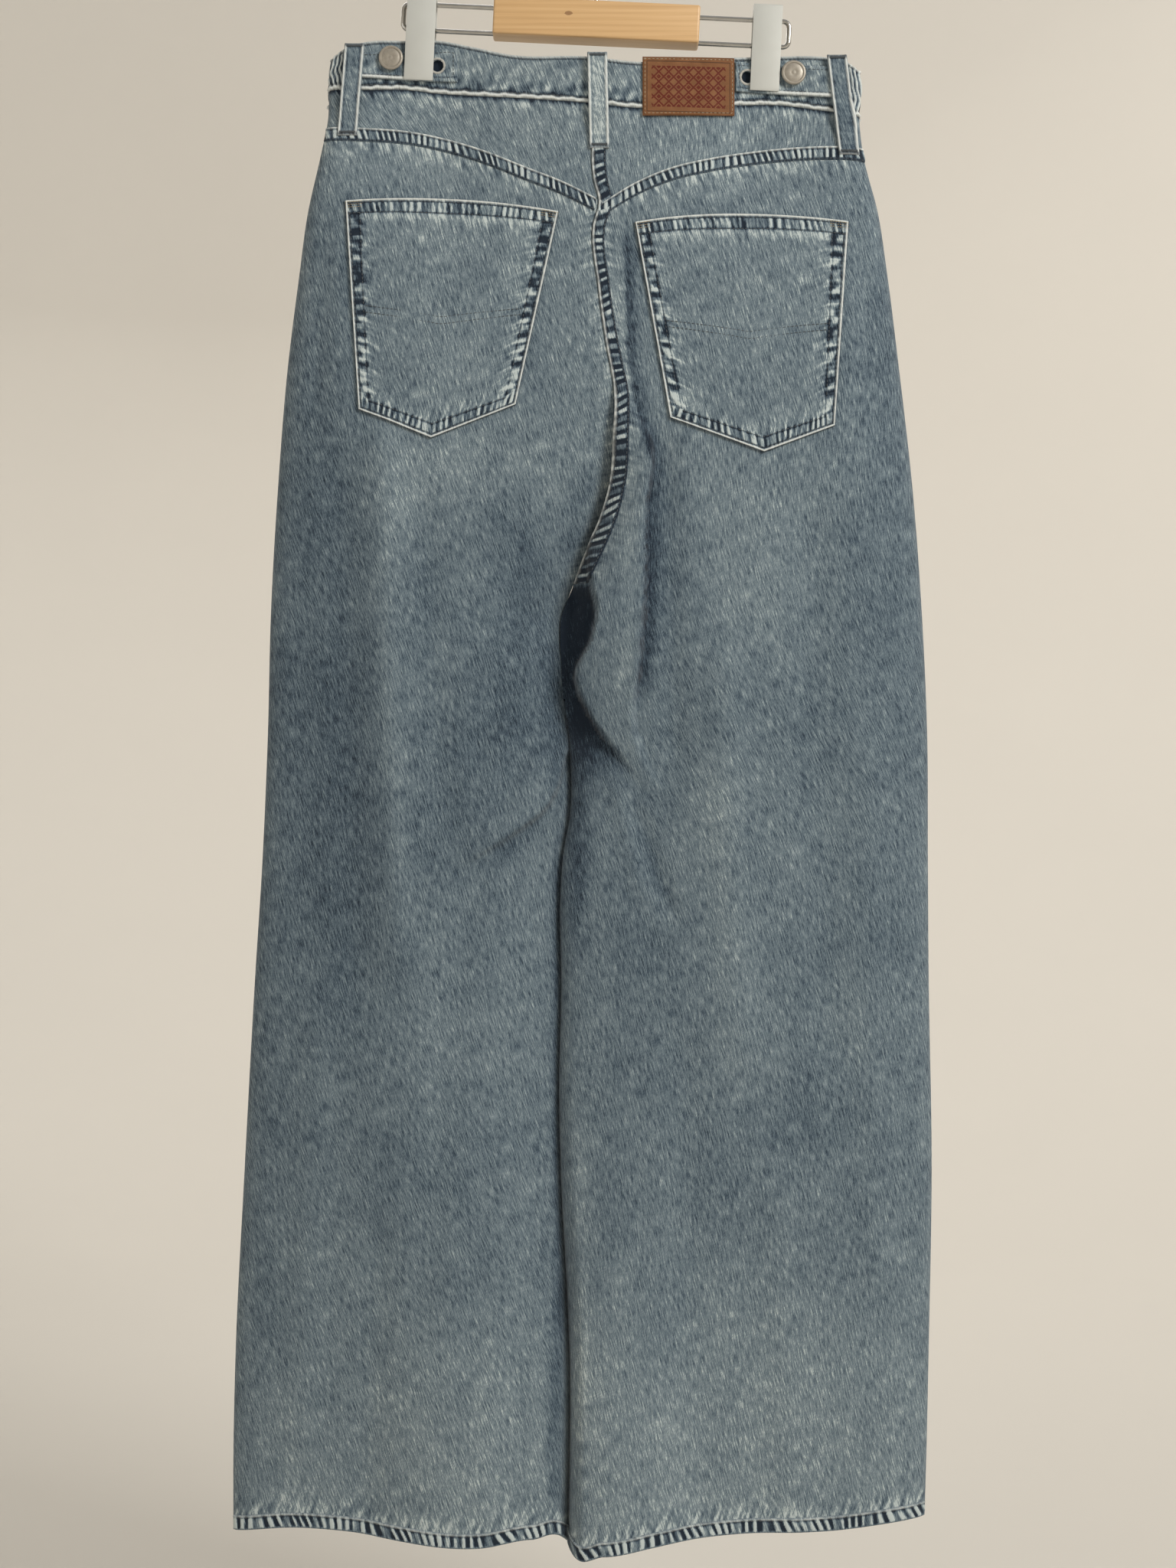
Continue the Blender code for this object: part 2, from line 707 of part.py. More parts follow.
def build_loops(denim):
    """Belt loops: each end is sewn down, and the middle stands clear of the waistband and its tabs."""
    for layer, loops, word in ((BACK, BACK_LOOPS, "back"), (FRONT, FRONT_LOOPS, "front")):
        for name, (top, bottom) in loops.items():
            half = LOOP_WIDTH / 2
            flat = four_sided(
                (top[0] - half, top[1]),
                (top[0] + half, top[1]),
                (bottom[0] + half, bottom[1]),
                (bottom[0] - half, bottom[1]),
                even(2),
                even(9),
            )
            level = even(9)
            crest = OVER_TAB if layer == BACK else OVER_BAND + FRONT_LOOP_CLEARANCE
            lift = ON_CLOTH + (crest - ON_CLOTH) * (1 - ramp(level, *LOOP_BEND))
            cloth(f"belt_loop_{word}_{name}", on_layer(layer, flat), layer, lift, LOOP, denim)


BACK_POCKETS = {  # corners of a back pocket and the two points that bend its top and bottom edges
    LEFT: {
        "top": ((-0.1757, 0.2219), (-0.1006, 0.2209), (-0.0263, 0.2301)),
        "bottom": ((-0.1652, 0.3698), (-0.1150, 0.3898), (-0.0560, 0.3662)),
    },
    RIGHT: {
        "top": ((0.0267, 0.2375), (0.0967, 0.2313), (0.1761, 0.2367)),
        "bottom": ((0.0510, 0.3753), (0.1164, 0.3994), (0.1656, 0.3810)),
    },
}


def build_back_pockets(denim):
    for side in (LEFT, RIGHT):
        top, bottom = BACK_POCKETS[side]["top"], BACK_POCKETS[side]["bottom"]
        flat = between(
            arched(*top),
            through(*bottom),
            through(top[0], bottom[0]),
            through(top[2], bottom[2]),
            even(8),
            even(8),
        )
        cloth(f"back_pocket_{NAMES[side]}", on_layer(BACK, flat), BACK, ON_CLOTH, DENIM, denim)


PATCH = ((0.0322, 0.1207), (0.0967, 0.1198), (0.0967, 0.1607), (0.0322, 0.1623))


def build_patch(leather):
    points = on_layer(BACK, four_sided(*PATCH, even(6), even(4)))
    cloth("leather_patch", points, BACK, OVER_BAND, LEATHER, leather)


FLY = {"top": 0.158, "width": 0.038, "length": 0.165, "past_seam": 0.0015}
FLY_CURVE = (0.55, 0.47)  # the level where the fly's outer stitching starts to curve in, and over what share
WAIST_BUTTON = {"from_seam": 0.010, "below_top": 0.0175, "height": 0.0040}


def build_front_details(denim, metal):
    """The fly's placket, the waist button and the cloth that shows in the two front pocket mouths."""
    level = even(9)
    drop = FLY["top"] + FLY["length"] * level
    outer = seam_across(FRONT, drop) + FLY["past_seam"]
    curve_start, curve_share = FLY_CURVE
    curved = np.maximum(level - curve_start, 0) / curve_share
    inner = outer - FLY["width"] * np.sqrt(np.clip(1 - curved**2, 0, 1))
    across = outer[:, None] + (inner - outer)[:, None] * even(4)[None, :]
    drops = np.repeat(drop[:, None], 5, axis=1)
    drops[0] = front_waist_bottom(across[0]) + GAP
    points = layer_points(FRONT, LEFT, across, drops)
    cloth("fly_placket", points, FRONT, ON_CLOTH, DENIM, denim)

    across = float(seam_across(FRONT, FLY["top"])) - WAIST_BUTTON["from_seam"]
    drop = float(front_waist_top(across)) + WAIST_BUTTON["below_top"]
    face = surface_top(FRONT, across, drop, BUTTON_RADIUS) + OVER_BAND
    stud("waist_button", (across, face, -drop), FRONT, BUTTON_RADIUS, WAIST_BUTTON["height"], metal)

    for side in (LEFT, RIGHT):
        mouth = front_top(side)

        def under_mouth(across, mouth=mouth):
            return mouth(across) + TUCK

        share = 1 - (POCKET_MOUTH["width"] + TUCK) / FRONT_HALF * (1 - close_at_ends(10))
        points = panel_points(FRONT, side, lambda x: front_waist_bottom(x) + GAP, under_mouth, share, even(5))
        cloth(f"pocket_facing_{NAMES[side]}", points, FRONT, -2 * DENIM - ON_CLOTH, DENIM, denim)


# ---------------------------------------------------------------- the hanger
CLIPS = {  # from the bar's middle: how far across, and the clip's top and bottom
    LEFT: (-0.1230, 0.0130, -0.0480),
    RIGHT: (0.1202, 0.0170, -0.0440),
}
CLIP_REACH = 0.0125  # how far round a clip's foot the cloth that it presses is looked at


def build_hanger(wood, steel, plate):
    """A wooden bar with a wire frame in each end, a clip on each frame and a steel hook in its top."""
    bar = bpy.data.objects.new("bar", None)
    bar.location = (0, 0, -BAR_DROP)
    bar.rotation_euler = (0, HANGER_TILT, 0)
    garment.objects.link(bar)

    block = box("hanger_bar", BAR_SIZE, (0, 0, 0), wood, bar)
    bpy.context.view_layer.update()
    half = BAR_SIZE[0] / 2
    for side in (LEFT, RIGHT):
        start, lead = side * (half - BORE_DEPTH + GAP), side * (half + WIRE_LEAD)
        turn = side * (WIRE_REACH - WIRE_RADIUS - WIRE_BEND)
        outward, down = (0, -90) if side == RIGHT else (180, 270)
        points = [(start, 0, RAIL_UP), (lead, 0, RAIL_UP)]
        points += arc((turn, RAIL_UP - WIRE_BEND), WIRE_BEND, 90, outward, 6)
        points += arc((turn, RAIL_DOWN + WIRE_BEND), WIRE_BEND, outward, down, 6)
        points += [(lead, 0, RAIL_DOWN), (start, 0, RAIL_DOWN)]
        bar_curve(f"hanger_wire_{NAMES[side]}", points, WIRE_RADIUS, steel, bar)
        for rail, word in ((RAIL_UP, "up"), (RAIL_DOWN, "down")):
            inner_end = bar.matrix_world @ Vector((side * (half - BORE_DEPTH), 0, rail))
            along = bar.matrix_world.to_3x3() @ Vector((side, 0, 0))
            bore = f"bore_{NAMES[side]}_{word}"
            cut(block, cutter(bore, BORE_RADIUS, BORE_DEPTH + PAST_FACE, inner_end, along))

        across, top, bottom = CLIPS[side]
        foot = bar.matrix_world @ Vector((across, 0, (RAIL_DOWN + bottom) / 2))
        near = surface_top(BACK, foot.x, -foot.z, CLIP_REACH) + OVER_TAB
        far = surface_top(FRONT, foot.x, -foot.z, CLIP_REACH) + OVER_BAND
        build_clip(f"clip_{NAMES[side]}", across, top, bottom, near, far, plate, bar)

    bar_top = -BAR_DROP + BAR_SIZE[2] / 2
    points = [(0, 0, bar_top - HOOK_SEAT + GAP), (0, 0, bar_top), (0, 0, HOOK_STEM_TOP)]
    curve = list(arc((0, -HOOK_RADIUS), HOOK_RADIUS + WIRE_RADIUS, *HOOK_CURVE, 26))
    points += [*s_bend((0, HOOK_STEM_TOP), curve[0][::2]), *curve]
    bar_curve("hanger_hook", points, WIRE_RADIUS, steel)
    bore_length = HOOK_SEAT + PAST_FACE
    cut(block, cutter("bore_hook", BORE_RADIUS, bore_length, (0, 0, bar_top - HOOK_SEAT), (0, 0, 1)))


def s_bend(start, end, steps=5):
    """Points between two places in the XZ plane, leaving the first one upwards."""
    for s in np.linspace(0, 1, steps + 2)[1:-1]:
        lift = math.sin(s * math.pi / 2)
        slide = 1 - math.cos(s * math.pi / 2)
        yield (start[0] + (end[0] - start[0]) * slide, 0, start[1] + (end[1] - start[1]) * lift)


def build_clip(name, across, top, bottom, near, far, material, parent):
    """A bent sheet that saddles the upper rail and holds the waistband between its two plates."""
    saddle = RAIL_UP + WIRE_RADIUS + GAP
    outline = [
        (-near - CLIP_SHEET, bottom),
        (-near - CLIP_SHEET, top),
        (far + CLIP_SHEET, top),
        (far + CLIP_SHEET, bottom),
        (far, bottom),
        (far, saddle),
        (-near, saddle),
        (-near, bottom),
    ]
    curve = bpy.data.curves.new(name, "CURVE")
    curve.dimensions = "2D"
    curve.fill_mode = "BOTH"
    curve.extrude = CLIP_WIDTH / 2
    spline = curve.splines.new("POLY")
    spline.points.add(len(outline) - 1)
    for point, (y, z) in zip(spline.points, outline):
        point.co = (y, z, 0, 1)
    spline.use_cyclic_u = True
    obj = place(bpy.data.objects.new(name, curve), material, parent)
    obj.location = (across, 0, 0)
    obj.rotation_euler = Matrix(((0, 0, 1), (1, 0, 0), (0, 1, 0))).to_euler()
    return obj


def main():
    """Builds the jeans, then the hanger that holds them."""
    denim = finish("denim", (0.20, 0.27, 0.33), 0.85)
    worn = finish("worn_denim", (0.30, 0.37, 0.42), 0.85)
    leather = finish("leather", (0.45, 0.27, 0.14), 0.55)
    metal = finish("button_metal", (0.36, 0.33, 0.28), 0.35, 1.0)
    wood = finish("wood", (0.70, 0.46, 0.24), 0.5)
    steel = finish("steel_wire", (0.60, 0.60, 0.60), 0.2, 1.0)
    plate = finish("clip_plate", (0.62, 0.64, 0.63), 0.35, 0.6)
    build_legs(denim)
    build_yokes(denim)
    build_waistband(denim)
    build_tabs(worn, metal)
    build_loops(worn)
    build_back_pockets(worn)
    build_patch(leather)
    build_front_details(denim, metal)
    build_hanger(wood, steel, plate)


for existing in list(bpy.data.objects):
    bpy.data.objects.remove(existing)
garment = bpy.data.collections.new("baggy_jeans")
cutters = bpy.data.collections.new("cutters")
for collection in (garment, cutters):
    bpy.context.scene.collection.children.link(collection)
main()
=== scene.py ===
"""The looks of a pair of baggy jeans, hung by the waistband from a wooden clip hanger.

Units are metres and +Z is up. +X runs to the viewer's right and the back of the jeans faces -Y, so the
wearer's left leg is at -X. The origin is the inside of the hook's crown.

  across  the distance along X
  drop    the distance below the origin, so z = -drop

The cloth hangs as two layers on each side of the plane y = 0. A layer's shape is its depth: how far its
outer face stands from that plane. Each cut piece is a grid of points on its layer, given a wall, and what
is sewn onto a piece takes that piece's points, moved out.
"""

from __future__ import annotations

import logging
import math
from dataclasses import dataclass, field
from enum import Enum
from typing import Callable, Iterable, Sequence

import bmesh
import bpy
import numpy as np
from mathutils import Matrix, Vector

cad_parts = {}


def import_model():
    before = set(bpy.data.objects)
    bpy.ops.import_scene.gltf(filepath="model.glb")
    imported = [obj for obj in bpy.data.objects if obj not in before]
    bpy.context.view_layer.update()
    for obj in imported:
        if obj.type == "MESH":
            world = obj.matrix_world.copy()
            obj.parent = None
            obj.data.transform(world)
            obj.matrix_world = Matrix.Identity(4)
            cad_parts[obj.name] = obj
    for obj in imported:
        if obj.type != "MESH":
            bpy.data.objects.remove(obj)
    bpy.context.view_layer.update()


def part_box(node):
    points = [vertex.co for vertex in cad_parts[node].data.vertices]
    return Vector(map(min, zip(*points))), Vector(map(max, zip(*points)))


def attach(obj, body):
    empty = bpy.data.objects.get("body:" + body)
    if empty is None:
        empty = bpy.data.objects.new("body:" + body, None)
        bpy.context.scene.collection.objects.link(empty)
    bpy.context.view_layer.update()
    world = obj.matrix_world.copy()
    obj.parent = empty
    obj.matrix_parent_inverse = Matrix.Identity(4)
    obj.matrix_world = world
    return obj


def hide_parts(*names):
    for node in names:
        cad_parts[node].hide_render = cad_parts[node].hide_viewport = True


log = logging.getLogger("jeans")
Array = np.ndarray
Edge = Callable[[Array], Array]
Colour = tuple[float, float, float]
Socket = bpy.types.NodeSocket
MM = 0.001
UV_NAME = "cloth"


class Named(Enum):
    """A choice whose name is part of the pieces' names."""

    @property
    def word(self) -> str:
        """The name in small letters."""
        return self.name.lower()


class Side(Named):
    """The viewer's side of the jeans, as the sign of X."""

    LEFT = -1
    RIGHT = 1


class Layer(Named):
    """The back or the front of the jeans, as the sign of Y."""

    BACK = -1
    FRONT = 1


# ---------------------------------------------------------------- tables and curves
@dataclass(frozen=True)
class Table:
    """Rows of numbers under named columns. The first column is the one that it is looked up by."""

    columns: dict[str, Array]

    @classmethod
    def of(cls, names: str, *rows: Sequence[float]) -> Table:
        """A table from its columns' names and its rows."""
        return cls(dict(zip(names.split(), np.array(rows, float).T)))

    def read(self, name: str, at: Array | float) -> Array:
        """A column as a smooth curve through its rows.

        Args:
            name: the column to read.
            at: where, in the first column's units.

        Returns:
            The column's value at each place.
        """
        keys, values = next(iter(self.columns.values())), self.columns[name]
        at = np.clip(at, keys[0], keys[-1])
        slopes = np.gradient(values, keys)
        i = np.clip(np.searchsorted(keys, at) - 1, 0, len(keys) - 2)
        span = keys[i + 1] - keys[i]
        s = (at - keys[i]) / span
        start = (1 + 2 * s) * (1 - s) ** 2 * values[i] + s * (1 - s) ** 2 * span * slopes[i]
        end = s**2 * (3 - 2 * s) * values[i + 1] + s**2 * (s - 1) * span * slopes[i + 1]
        return start + end

    def bumps(self, across: Array, drop: Array) -> Array:
        """The sum of soft round bumps, one a row: its place, height, half width and half length."""
        total = np.zeros(np.broadcast(across, drop).shape)
        for x, d, rise, half_x, half_d in zip(*self.columns.values()):
            total += rise * np.exp(-(((across - x) / half_x) ** 2) - ((drop - d) / half_d) ** 2)
        return total

    def creases(self, across: Array, drop: Array) -> Array:
        """The sum of soft straight folds, one a row: its two ends, height and half width.

        Args:
            across: the places' X.
            drop: their distance below the origin.

        Returns:
            The height at each place.
        """
        total = np.zeros(np.broadcast(across, drop).shape)
        for x0, d0, x1, d1, rise, half in zip(*self.columns.values()):
            length = math.hypot(x1 - x0, d1 - d0)
            along = ((across - x0) * (x1 - x0) + (drop - d0) * (d1 - d0)) / length
            aside = ((across - x0) * (d1 - d0) - (drop - d0) * (x1 - x0)) / length
            past = np.maximum(np.maximum(-along, along - length), 0)
            total += rise * np.exp(-((aside / half) ** 2) - (past / (2 * half)) ** 2)
        return total


@dataclass(frozen=True)
class Stroke:
    """A soft line on the cloth, drawn through points given as across and drop, and fading out at its ends.

    Its crisp side, looking down the line, is -1 for the left, 1 for the right and 0 for neither.
    """

    amount: float
    half: float
    points: tuple[tuple[float, float], ...]
    taper: float = 0.15
    crisp: int = 0

    def at(self, across: Array, drop: Array) -> Array:
        """How much of the stroke is felt at each place.

        Args:
            across: the places' X.
            drop: their distance below the origin.

        Returns:
            Its share of the tone at each place.
        """
        nearest = np.full(np.broadcast(across, drop).shape, 1e9)
        share, side = np.zeros(nearest.shape), np.zeros(nearest.shape)
        spans = list(zip(self.points, self.points[1:]))
        for i, ((x0, d0), (x1, d1)) in enumerate(spans):
            dx, dd = x1 - x0, d1 - d0
            t = np.clip(((across - x0) * dx + (drop - d0) * dd) / (dx * dx + dd * dd), 0, 1)
            distance = np.hypot(across - x0 - t * dx, drop - d0 - t * dd)
            share = np.where(distance < nearest, (i + t) / len(spans), share)
            side = np.where(distance < nearest, np.sign(dd * (across - x0) - dx * (drop - d0)), side)
            nearest = np.minimum(nearest, distance)
        fade = ramp(share, 0, self.taper) * (1 - ramp(share, 1 - self.taper, 1)) if self.taper else 1.0
        reach = np.where(side * self.crisp > 0, min(1.3 * MM, self.half), self.half)
        return self.amount * bell(nearest, 0, reach) * fade


def ramp(value: Array, start: float | Array, end: float | Array) -> Array:
    """0 before start, 1 after end, and smooth between."""
    s = np.clip((value - start) / (end - start), 0, 1)
    return s * s * (3 - 2 * s)


def rounded(distance: Array, reach: float | Array) -> Array:
    """A quarter circle from 0 at an edge to 1 at its reach."""
    return np.sqrt(1 - (1 - np.clip(distance / reach, 0, 1)) ** 2)


def bell(value: Array, middle: Array | float, half: Array | float) -> Array:
    """1 where a value meets its middle, falling softly to 0 on both sides."""
    return np.exp(-(((value - middle) / half) ** 2))


def even(count: int) -> Array:
    """Levels from 0 to 1, evenly spaced."""
    return np.linspace(0, 1, count + 1)


def close_at_ends(count: int) -> Array:
    """Levels from 0 to 1 that crowd towards both ends, where the cloth turns round."""
    return 0.65 * even(count) + 0.35 * (1 - np.cos(math.pi * even(count))) / 2


def fine_at_ends(count: int) -> Array:
    """Levels from 0 to 1 that crowd hard at both ends, for piped and stitched edges."""
    return even(count) - 0.78 * np.sin(math.tau * even(count)) / math.tau


def through(*points: Sequence[float]) -> Edge:
    """An edge made of straight runs through evenly shared points."""
    xy = np.array(points, float)
    knots = np.linspace(0, 1, len(xy))
    return lambda s: np.stack([np.interp(s, knots, xy[:, 0]), np.interp(s, knots, xy[:, 1])], axis=-1)


def arched(start: Sequence[float], middle: Sequence[float], end: Sequence[float]) -> Edge:
    """An edge that bends through its middle point.

    Args:
        start: its first point.
        middle: the point that it passes half way.
        end: its last point.

    Returns:
        The edge, as a function of the share of its length.
    """
    a, b, c = (np.array(p, float) for p in (start, middle, end))
    pull = 2 * b - (a + c) / 2

    def edge(s: Array) -> Array:
        """The point at each share of the edge."""
        s = np.asarray(s, float)[..., None]
        return (1 - s) ** 2 * a + 2 * s * (1 - s) * pull + s**2 * c

    return edge


@dataclass(frozen=True)
class FourSided:
    """A flat piece, in across and drop, between four edges that share their corners."""

    top: Edge
    bottom: Edge
    left: Edge
    right: Edge

    @classmethod
    def straight(cls, corners: Sequence[Sequence[float]]) -> FourSided:
        """A piece with straight edges, from its top left corner on round by the right."""
        a, b, c, d = corners
        return cls(through(a, b), through(d, c), through(a, d), through(b, c))

    def at(self, share: Array, level: Array) -> Array:
        """The flat points at places in the piece.

        Args:
            share: the places' shares of the width.
            level: their shares of the height, from the top.

        Returns:
            Their across and drop.
        """
        share, level = np.broadcast_arrays(np.asarray(share, float), np.asarray(level, float))
        u, v = share[..., None], level[..., None]
        zero, one = np.zeros(share.shape), np.ones(share.shape)
        corners = (1 - u) * (1 - v) * self.top(zero) + u * (1 - v) * self.top(one)
        corners = corners + (1 - u) * v * self.bottom(zero) + u * v * self.bottom(one)
        sides = (1 - u) * self.left(level) + u * self.right(level)
        return (1 - v) * self.top(share) + v * self.bottom(share) + sides - corners

    def grid(self, columns: Array, rows: Array) -> Array:
        """The flat points at every share of the width and level of the height."""
        return self.at(*np.meshgrid(columns, rows))

    def size(self) -> tuple[float, float]:
        """The length of the top edge and of the longer side."""
        steps = even(20)
        spans = [np.linalg.norm(np.diff(edge(steps), axis=0), axis=1).sum() for edge in
                 (self.top, self.left, self.right)]
        return float(spans[0]), float(max(spans[1:]))


# ---------------------------------------------------------------- walls of cloth
GAP = 0.3 * MM
ON_CLOTH = 0.6 * MM
DENIM = 1.4 * MM
BAND = 2.4 * MM
BAND_LIFT = 0.6 * MM
TAB = 1.8 * MM
LOOP = 2.0 * MM
LEATHER = 1.6 * MM
OVER_BAND = BAND_LIFT + ON_CLOTH
OVER_TAB = OVER_BAND + TAB + ON_CLOTH
FELL = 10.0 * MM  # width of a felled seam's band
FELL_PROUD = 0.9 * MM  # how far it stands out
FIRST_ROW = 2.1 * MM  # from its worn edge to its first row of stitches
LAST_ROW = 0.9 * MM  # from its second row to its other edge
PUCKER = 0.42 * MM  # how high its puckers are
PITCH = 4.5 * MM  # from one pucker to the next
HEM_PITCH = 5.8 * MM  # the same in the hems
FLARE_PITCH = 6.2 * MM  # from one of the pale flares beside a seam to the next

# ---------------------------------------------------------------- the outline
SIDES = Table.of(
    "drop left right",
    (0.115, -0.186, 0.1835), (0.131, -0.188, 0.186), (0.163, -0.1895, 0.1855), (0.185, -0.194, 0.188),
    (0.228, -0.2036, 0.1987), (0.271, -0.2095, 0.2052), (0.336, -0.2176, 0.2133), (0.422, -0.2246, 0.223),
    (0.509, -0.2295, 0.2295), (0.595, -0.2317, 0.2333), (0.682, -0.2354, 0.2338),
    (0.768, -0.2408, 0.2344), (0.898, -0.2479, 0.2365), (1.027, -0.2543, 0.2344), (1.103, -0.256, 0.2327),
    (1.156, -0.256, 0.2311),
)
SEAT_SEAM = Table.of(  # the band's left edge and its width
    "drop across width",
    (0.15, -0.002, 0.01), (0.21, -0.002, 0.01), (0.222, 0.001, 0.01), (0.24, -0.003, 0.009),
    (0.282, 0.0005, 0.0085), (0.321, 0.0058, 0.009), (0.36, 0.0122, 0.01), (0.39, 0.0116, 0.0105),
    (0.414, 0.01, 0.011), (0.44, 0.0037, 0.012), (0.473, -0.0102, 0.0125), (0.491, -0.0167, 0.01),
)
FRONT_SEAM = Table.of(
    "drop across",
    (0.15, -0.003), (0.3, -0.004), (0.42, -0.009), (0.491, -0.0167),
)
BETWEEN_LEGS = Table.of(  # where the legs' inner edges meet, and how far apart they lie
    "drop across apart",
    (0.491, -0.0167, 0.0003), (0.498, -0.0197, 0.0006), (0.509, -0.0241, 0.0009),
    (0.526, -0.0246, 0.0009), (0.547, -0.0234, 0.0008), (0.576, -0.0226, 0.0008), (0.598, -0.02, 0.0008),
    (0.651, -0.019, 0.0008), (0.679, -0.0237, 0.0008), (0.706, -0.0257, 0.0008), (0.772, -0.0251, 0.0008),
    (0.84, -0.0267, 0.0008), (0.92, -0.0251, 0.0008), (0.979, -0.0219, 0.0008), (1.02, -0.0203, 0.0008),
    (1.156, -0.0211, 0.0008),
)
WAIST = Table.of(
    "across top bottom",
    (-0.186, 0.119, 0.1416), (-0.174, 0.111, 0.1416), (-0.161, 0.1078, 0.1416), (-0.134, 0.1066, 0.141),
    (-0.111, 0.1065, 0.1437), (-0.087, 0.1117, 0.1459), (-0.06, 0.118, 0.148), (-0.008, 0.12, 0.1523),
    (0.032, 0.1236, 0.1561), (0.065, 0.1212, 0.1545), (0.097, 0.1187, 0.1523), (0.128, 0.1175, 0.1518),
    (0.161, 0.1187, 0.1566), (0.175, 0.1215, 0.1585), (0.184, 0.1275, 0.1599),
)
YOKE_POINT = 0.0040
YOKE_LEFT = Table.of(
    "across drop",
    (-0.194, 0.168), (-0.1675, 0.1688), (-0.127, 0.1717), (-0.101, 0.1779), (-0.075, 0.187),
    (-0.049, 0.198), (-0.024, 0.2082), (YOKE_POINT, 0.2224),
)
YOKE_RIGHT = Table.of(
    "across drop",
    (YOKE_POINT, 0.2235), (0.027, 0.2093), (0.053, 0.198), (0.079, 0.1913), (0.1045, 0.1865),
    (0.13, 0.1835), (0.166, 0.1822), (0.19, 0.183),
)
HEM = Table.of(
    "across drop",
    (-0.256, 1.1545), (-0.213, 1.1485), (-0.182, 1.1484), (-0.133, 1.1525), (-0.106, 1.1546),
    (-0.081, 1.1549), (-0.045, 1.1512), (-0.0215, 1.1546), (-0.018, 1.16), (0.005, 1.1606),
    (0.038, 1.156), (0.06, 1.1539), (0.098, 1.1519), (0.163, 1.1506), (0.2, 1.1471), (0.232, 1.144),
)

# ---------------------------------------------------------------- the depth of the two layers
FULLNESS = Table.of(
    "drop back front reach",
    (0.15, 0.008, 0.008, 0.007), (0.22, 0.014, 0.013, 0.02), (0.3, 0.019, 0.017, 0.04),
    (0.39, 0.0235, 0.021, 0.06), (0.491, 0.025, 0.023, 0.075), (0.6, 0.025, 0.024, 0.085),
    (0.8, 0.023, 0.023, 0.09), (1.0, 0.022, 0.022, 0.09), (1.16, 0.018, 0.019, 0.08),
)
WAIST_BOW = Table.of(
    "across depth",
    (-0.186, 0.005), (-0.16, 0.0045), (-0.134, 0.0026), (-0.111, 0.0026), (-0.08, 0.006), (0.0, 0.011),
    (0.08, 0.006), (0.108, 0.0026), (0.131, 0.0026), (0.16, 0.0045), (0.184, 0.005),
)
SWELLS = {
    Layer.BACK: Table.of(
        "across drop rise half_across half_drop",
        (-0.092, 1.17, 0.024, 0.07, 0.3), (0.012, 1.18, 0.024, 0.055, 0.26),
        (-0.145, 0.62, 0.004, 0.04, 0.26), (-0.198, 0.56, -0.004, 0.03, 0.24),
        (0.09, 0.76, 0.005, 0.045, 0.24), (0.045, 0.64, -0.004, 0.03, 0.09),
        (-0.12, 0.9, 0.003, 0.05, 0.2),
    ),
    Layer.FRONT: Table.of(
        "across drop rise half_across half_drop",
        (-0.15, 1.17, 0.016, 0.07, 0.3), (0.11, 1.17, 0.016, 0.07, 0.3), (-0.11, 0.62, 0.004, 0.05, 0.26),
        (0.12, 0.64, 0.004, 0.05, 0.26),
    ),
}
CREASES = {
    Layer.BACK: Table.of(
        "across_from drop_from across_to drop_to rise half",
        (-0.148, 0.4, -0.136, 0.74, 0.0026, 0.012), (-0.176, 0.43, -0.166, 0.76, -0.0022, 0.014),
        (-0.12, 0.44, -0.108, 0.64, -0.0014, 0.01), (-0.036, 0.5, -0.08, 0.6, -0.002, 0.01),
        (-0.034, 0.56, -0.064, 0.64, -0.0018, 0.009), (-0.03, 0.43, -0.06, 0.48, -0.0016, 0.01),
        (-0.09, 0.7, -0.12, 0.98, -0.0016, 0.014), (-0.195, 0.8, -0.205, 1.08, 0.0018, 0.014),
        (-0.06, 0.9, -0.075, 1.12, 0.0016, 0.012), (-0.15, 0.96, -0.16, 1.13, -0.0016, 0.013),
        (0.03, 0.657, 0.049, 0.712, -0.002, 0.006), (0.016, 0.64, 0.03, 0.7, 0.0012, 0.006),
        (0.048, 0.4, 0.054, 0.6, -0.002, 0.009), (0.088, 0.56, 0.1, 0.8, 0.0022, 0.014),
        (0.15, 0.46, 0.16, 0.8, -0.0022, 0.016), (0.19, 0.62, 0.196, 0.96, 0.0018, 0.013),
        (0.06, 0.82, 0.068, 1.12, -0.0018, 0.014), (0.128, 0.92, 0.136, 1.13, 0.0018, 0.014),
        (-0.05, 0.26, -0.12, 0.33, 0.001, 0.016), (0.18, 0.22, 0.196, 0.38, -0.0012, 0.008),
        (-0.188, 0.2, -0.196, 0.36, -0.0012, 0.008),
    ),
    Layer.FRONT: Table.of(
        "across_from drop_from across_to drop_to rise half",
        (-0.03, 0.47, -0.11, 0.42, -0.0022, 0.01), (-0.034, 0.5, -0.1, 0.48, 0.0016, 0.01),
        (0.0, 0.47, 0.08, 0.42, -0.0022, 0.01), (0.004, 0.505, 0.09, 0.49, 0.0016, 0.01),
        (-0.12, 0.52, -0.13, 0.86, 0.0022, 0.014), (-0.17, 0.56, -0.176, 0.9, -0.002, 0.014),
        (0.11, 0.54, 0.124, 0.88, 0.0022, 0.014), (0.16, 0.56, 0.17, 0.86, -0.002, 0.014),
        (-0.08, 0.86, -0.09, 1.12, -0.0018, 0.013), (0.07, 0.88, 0.078, 1.12, -0.0018, 0.013),
        (-0.19, 0.96, -0.2, 1.12, 0.0016, 0.013), (0.18, 0.96, 0.186, 1.12, 0.0016, 0.013),
    ),
}
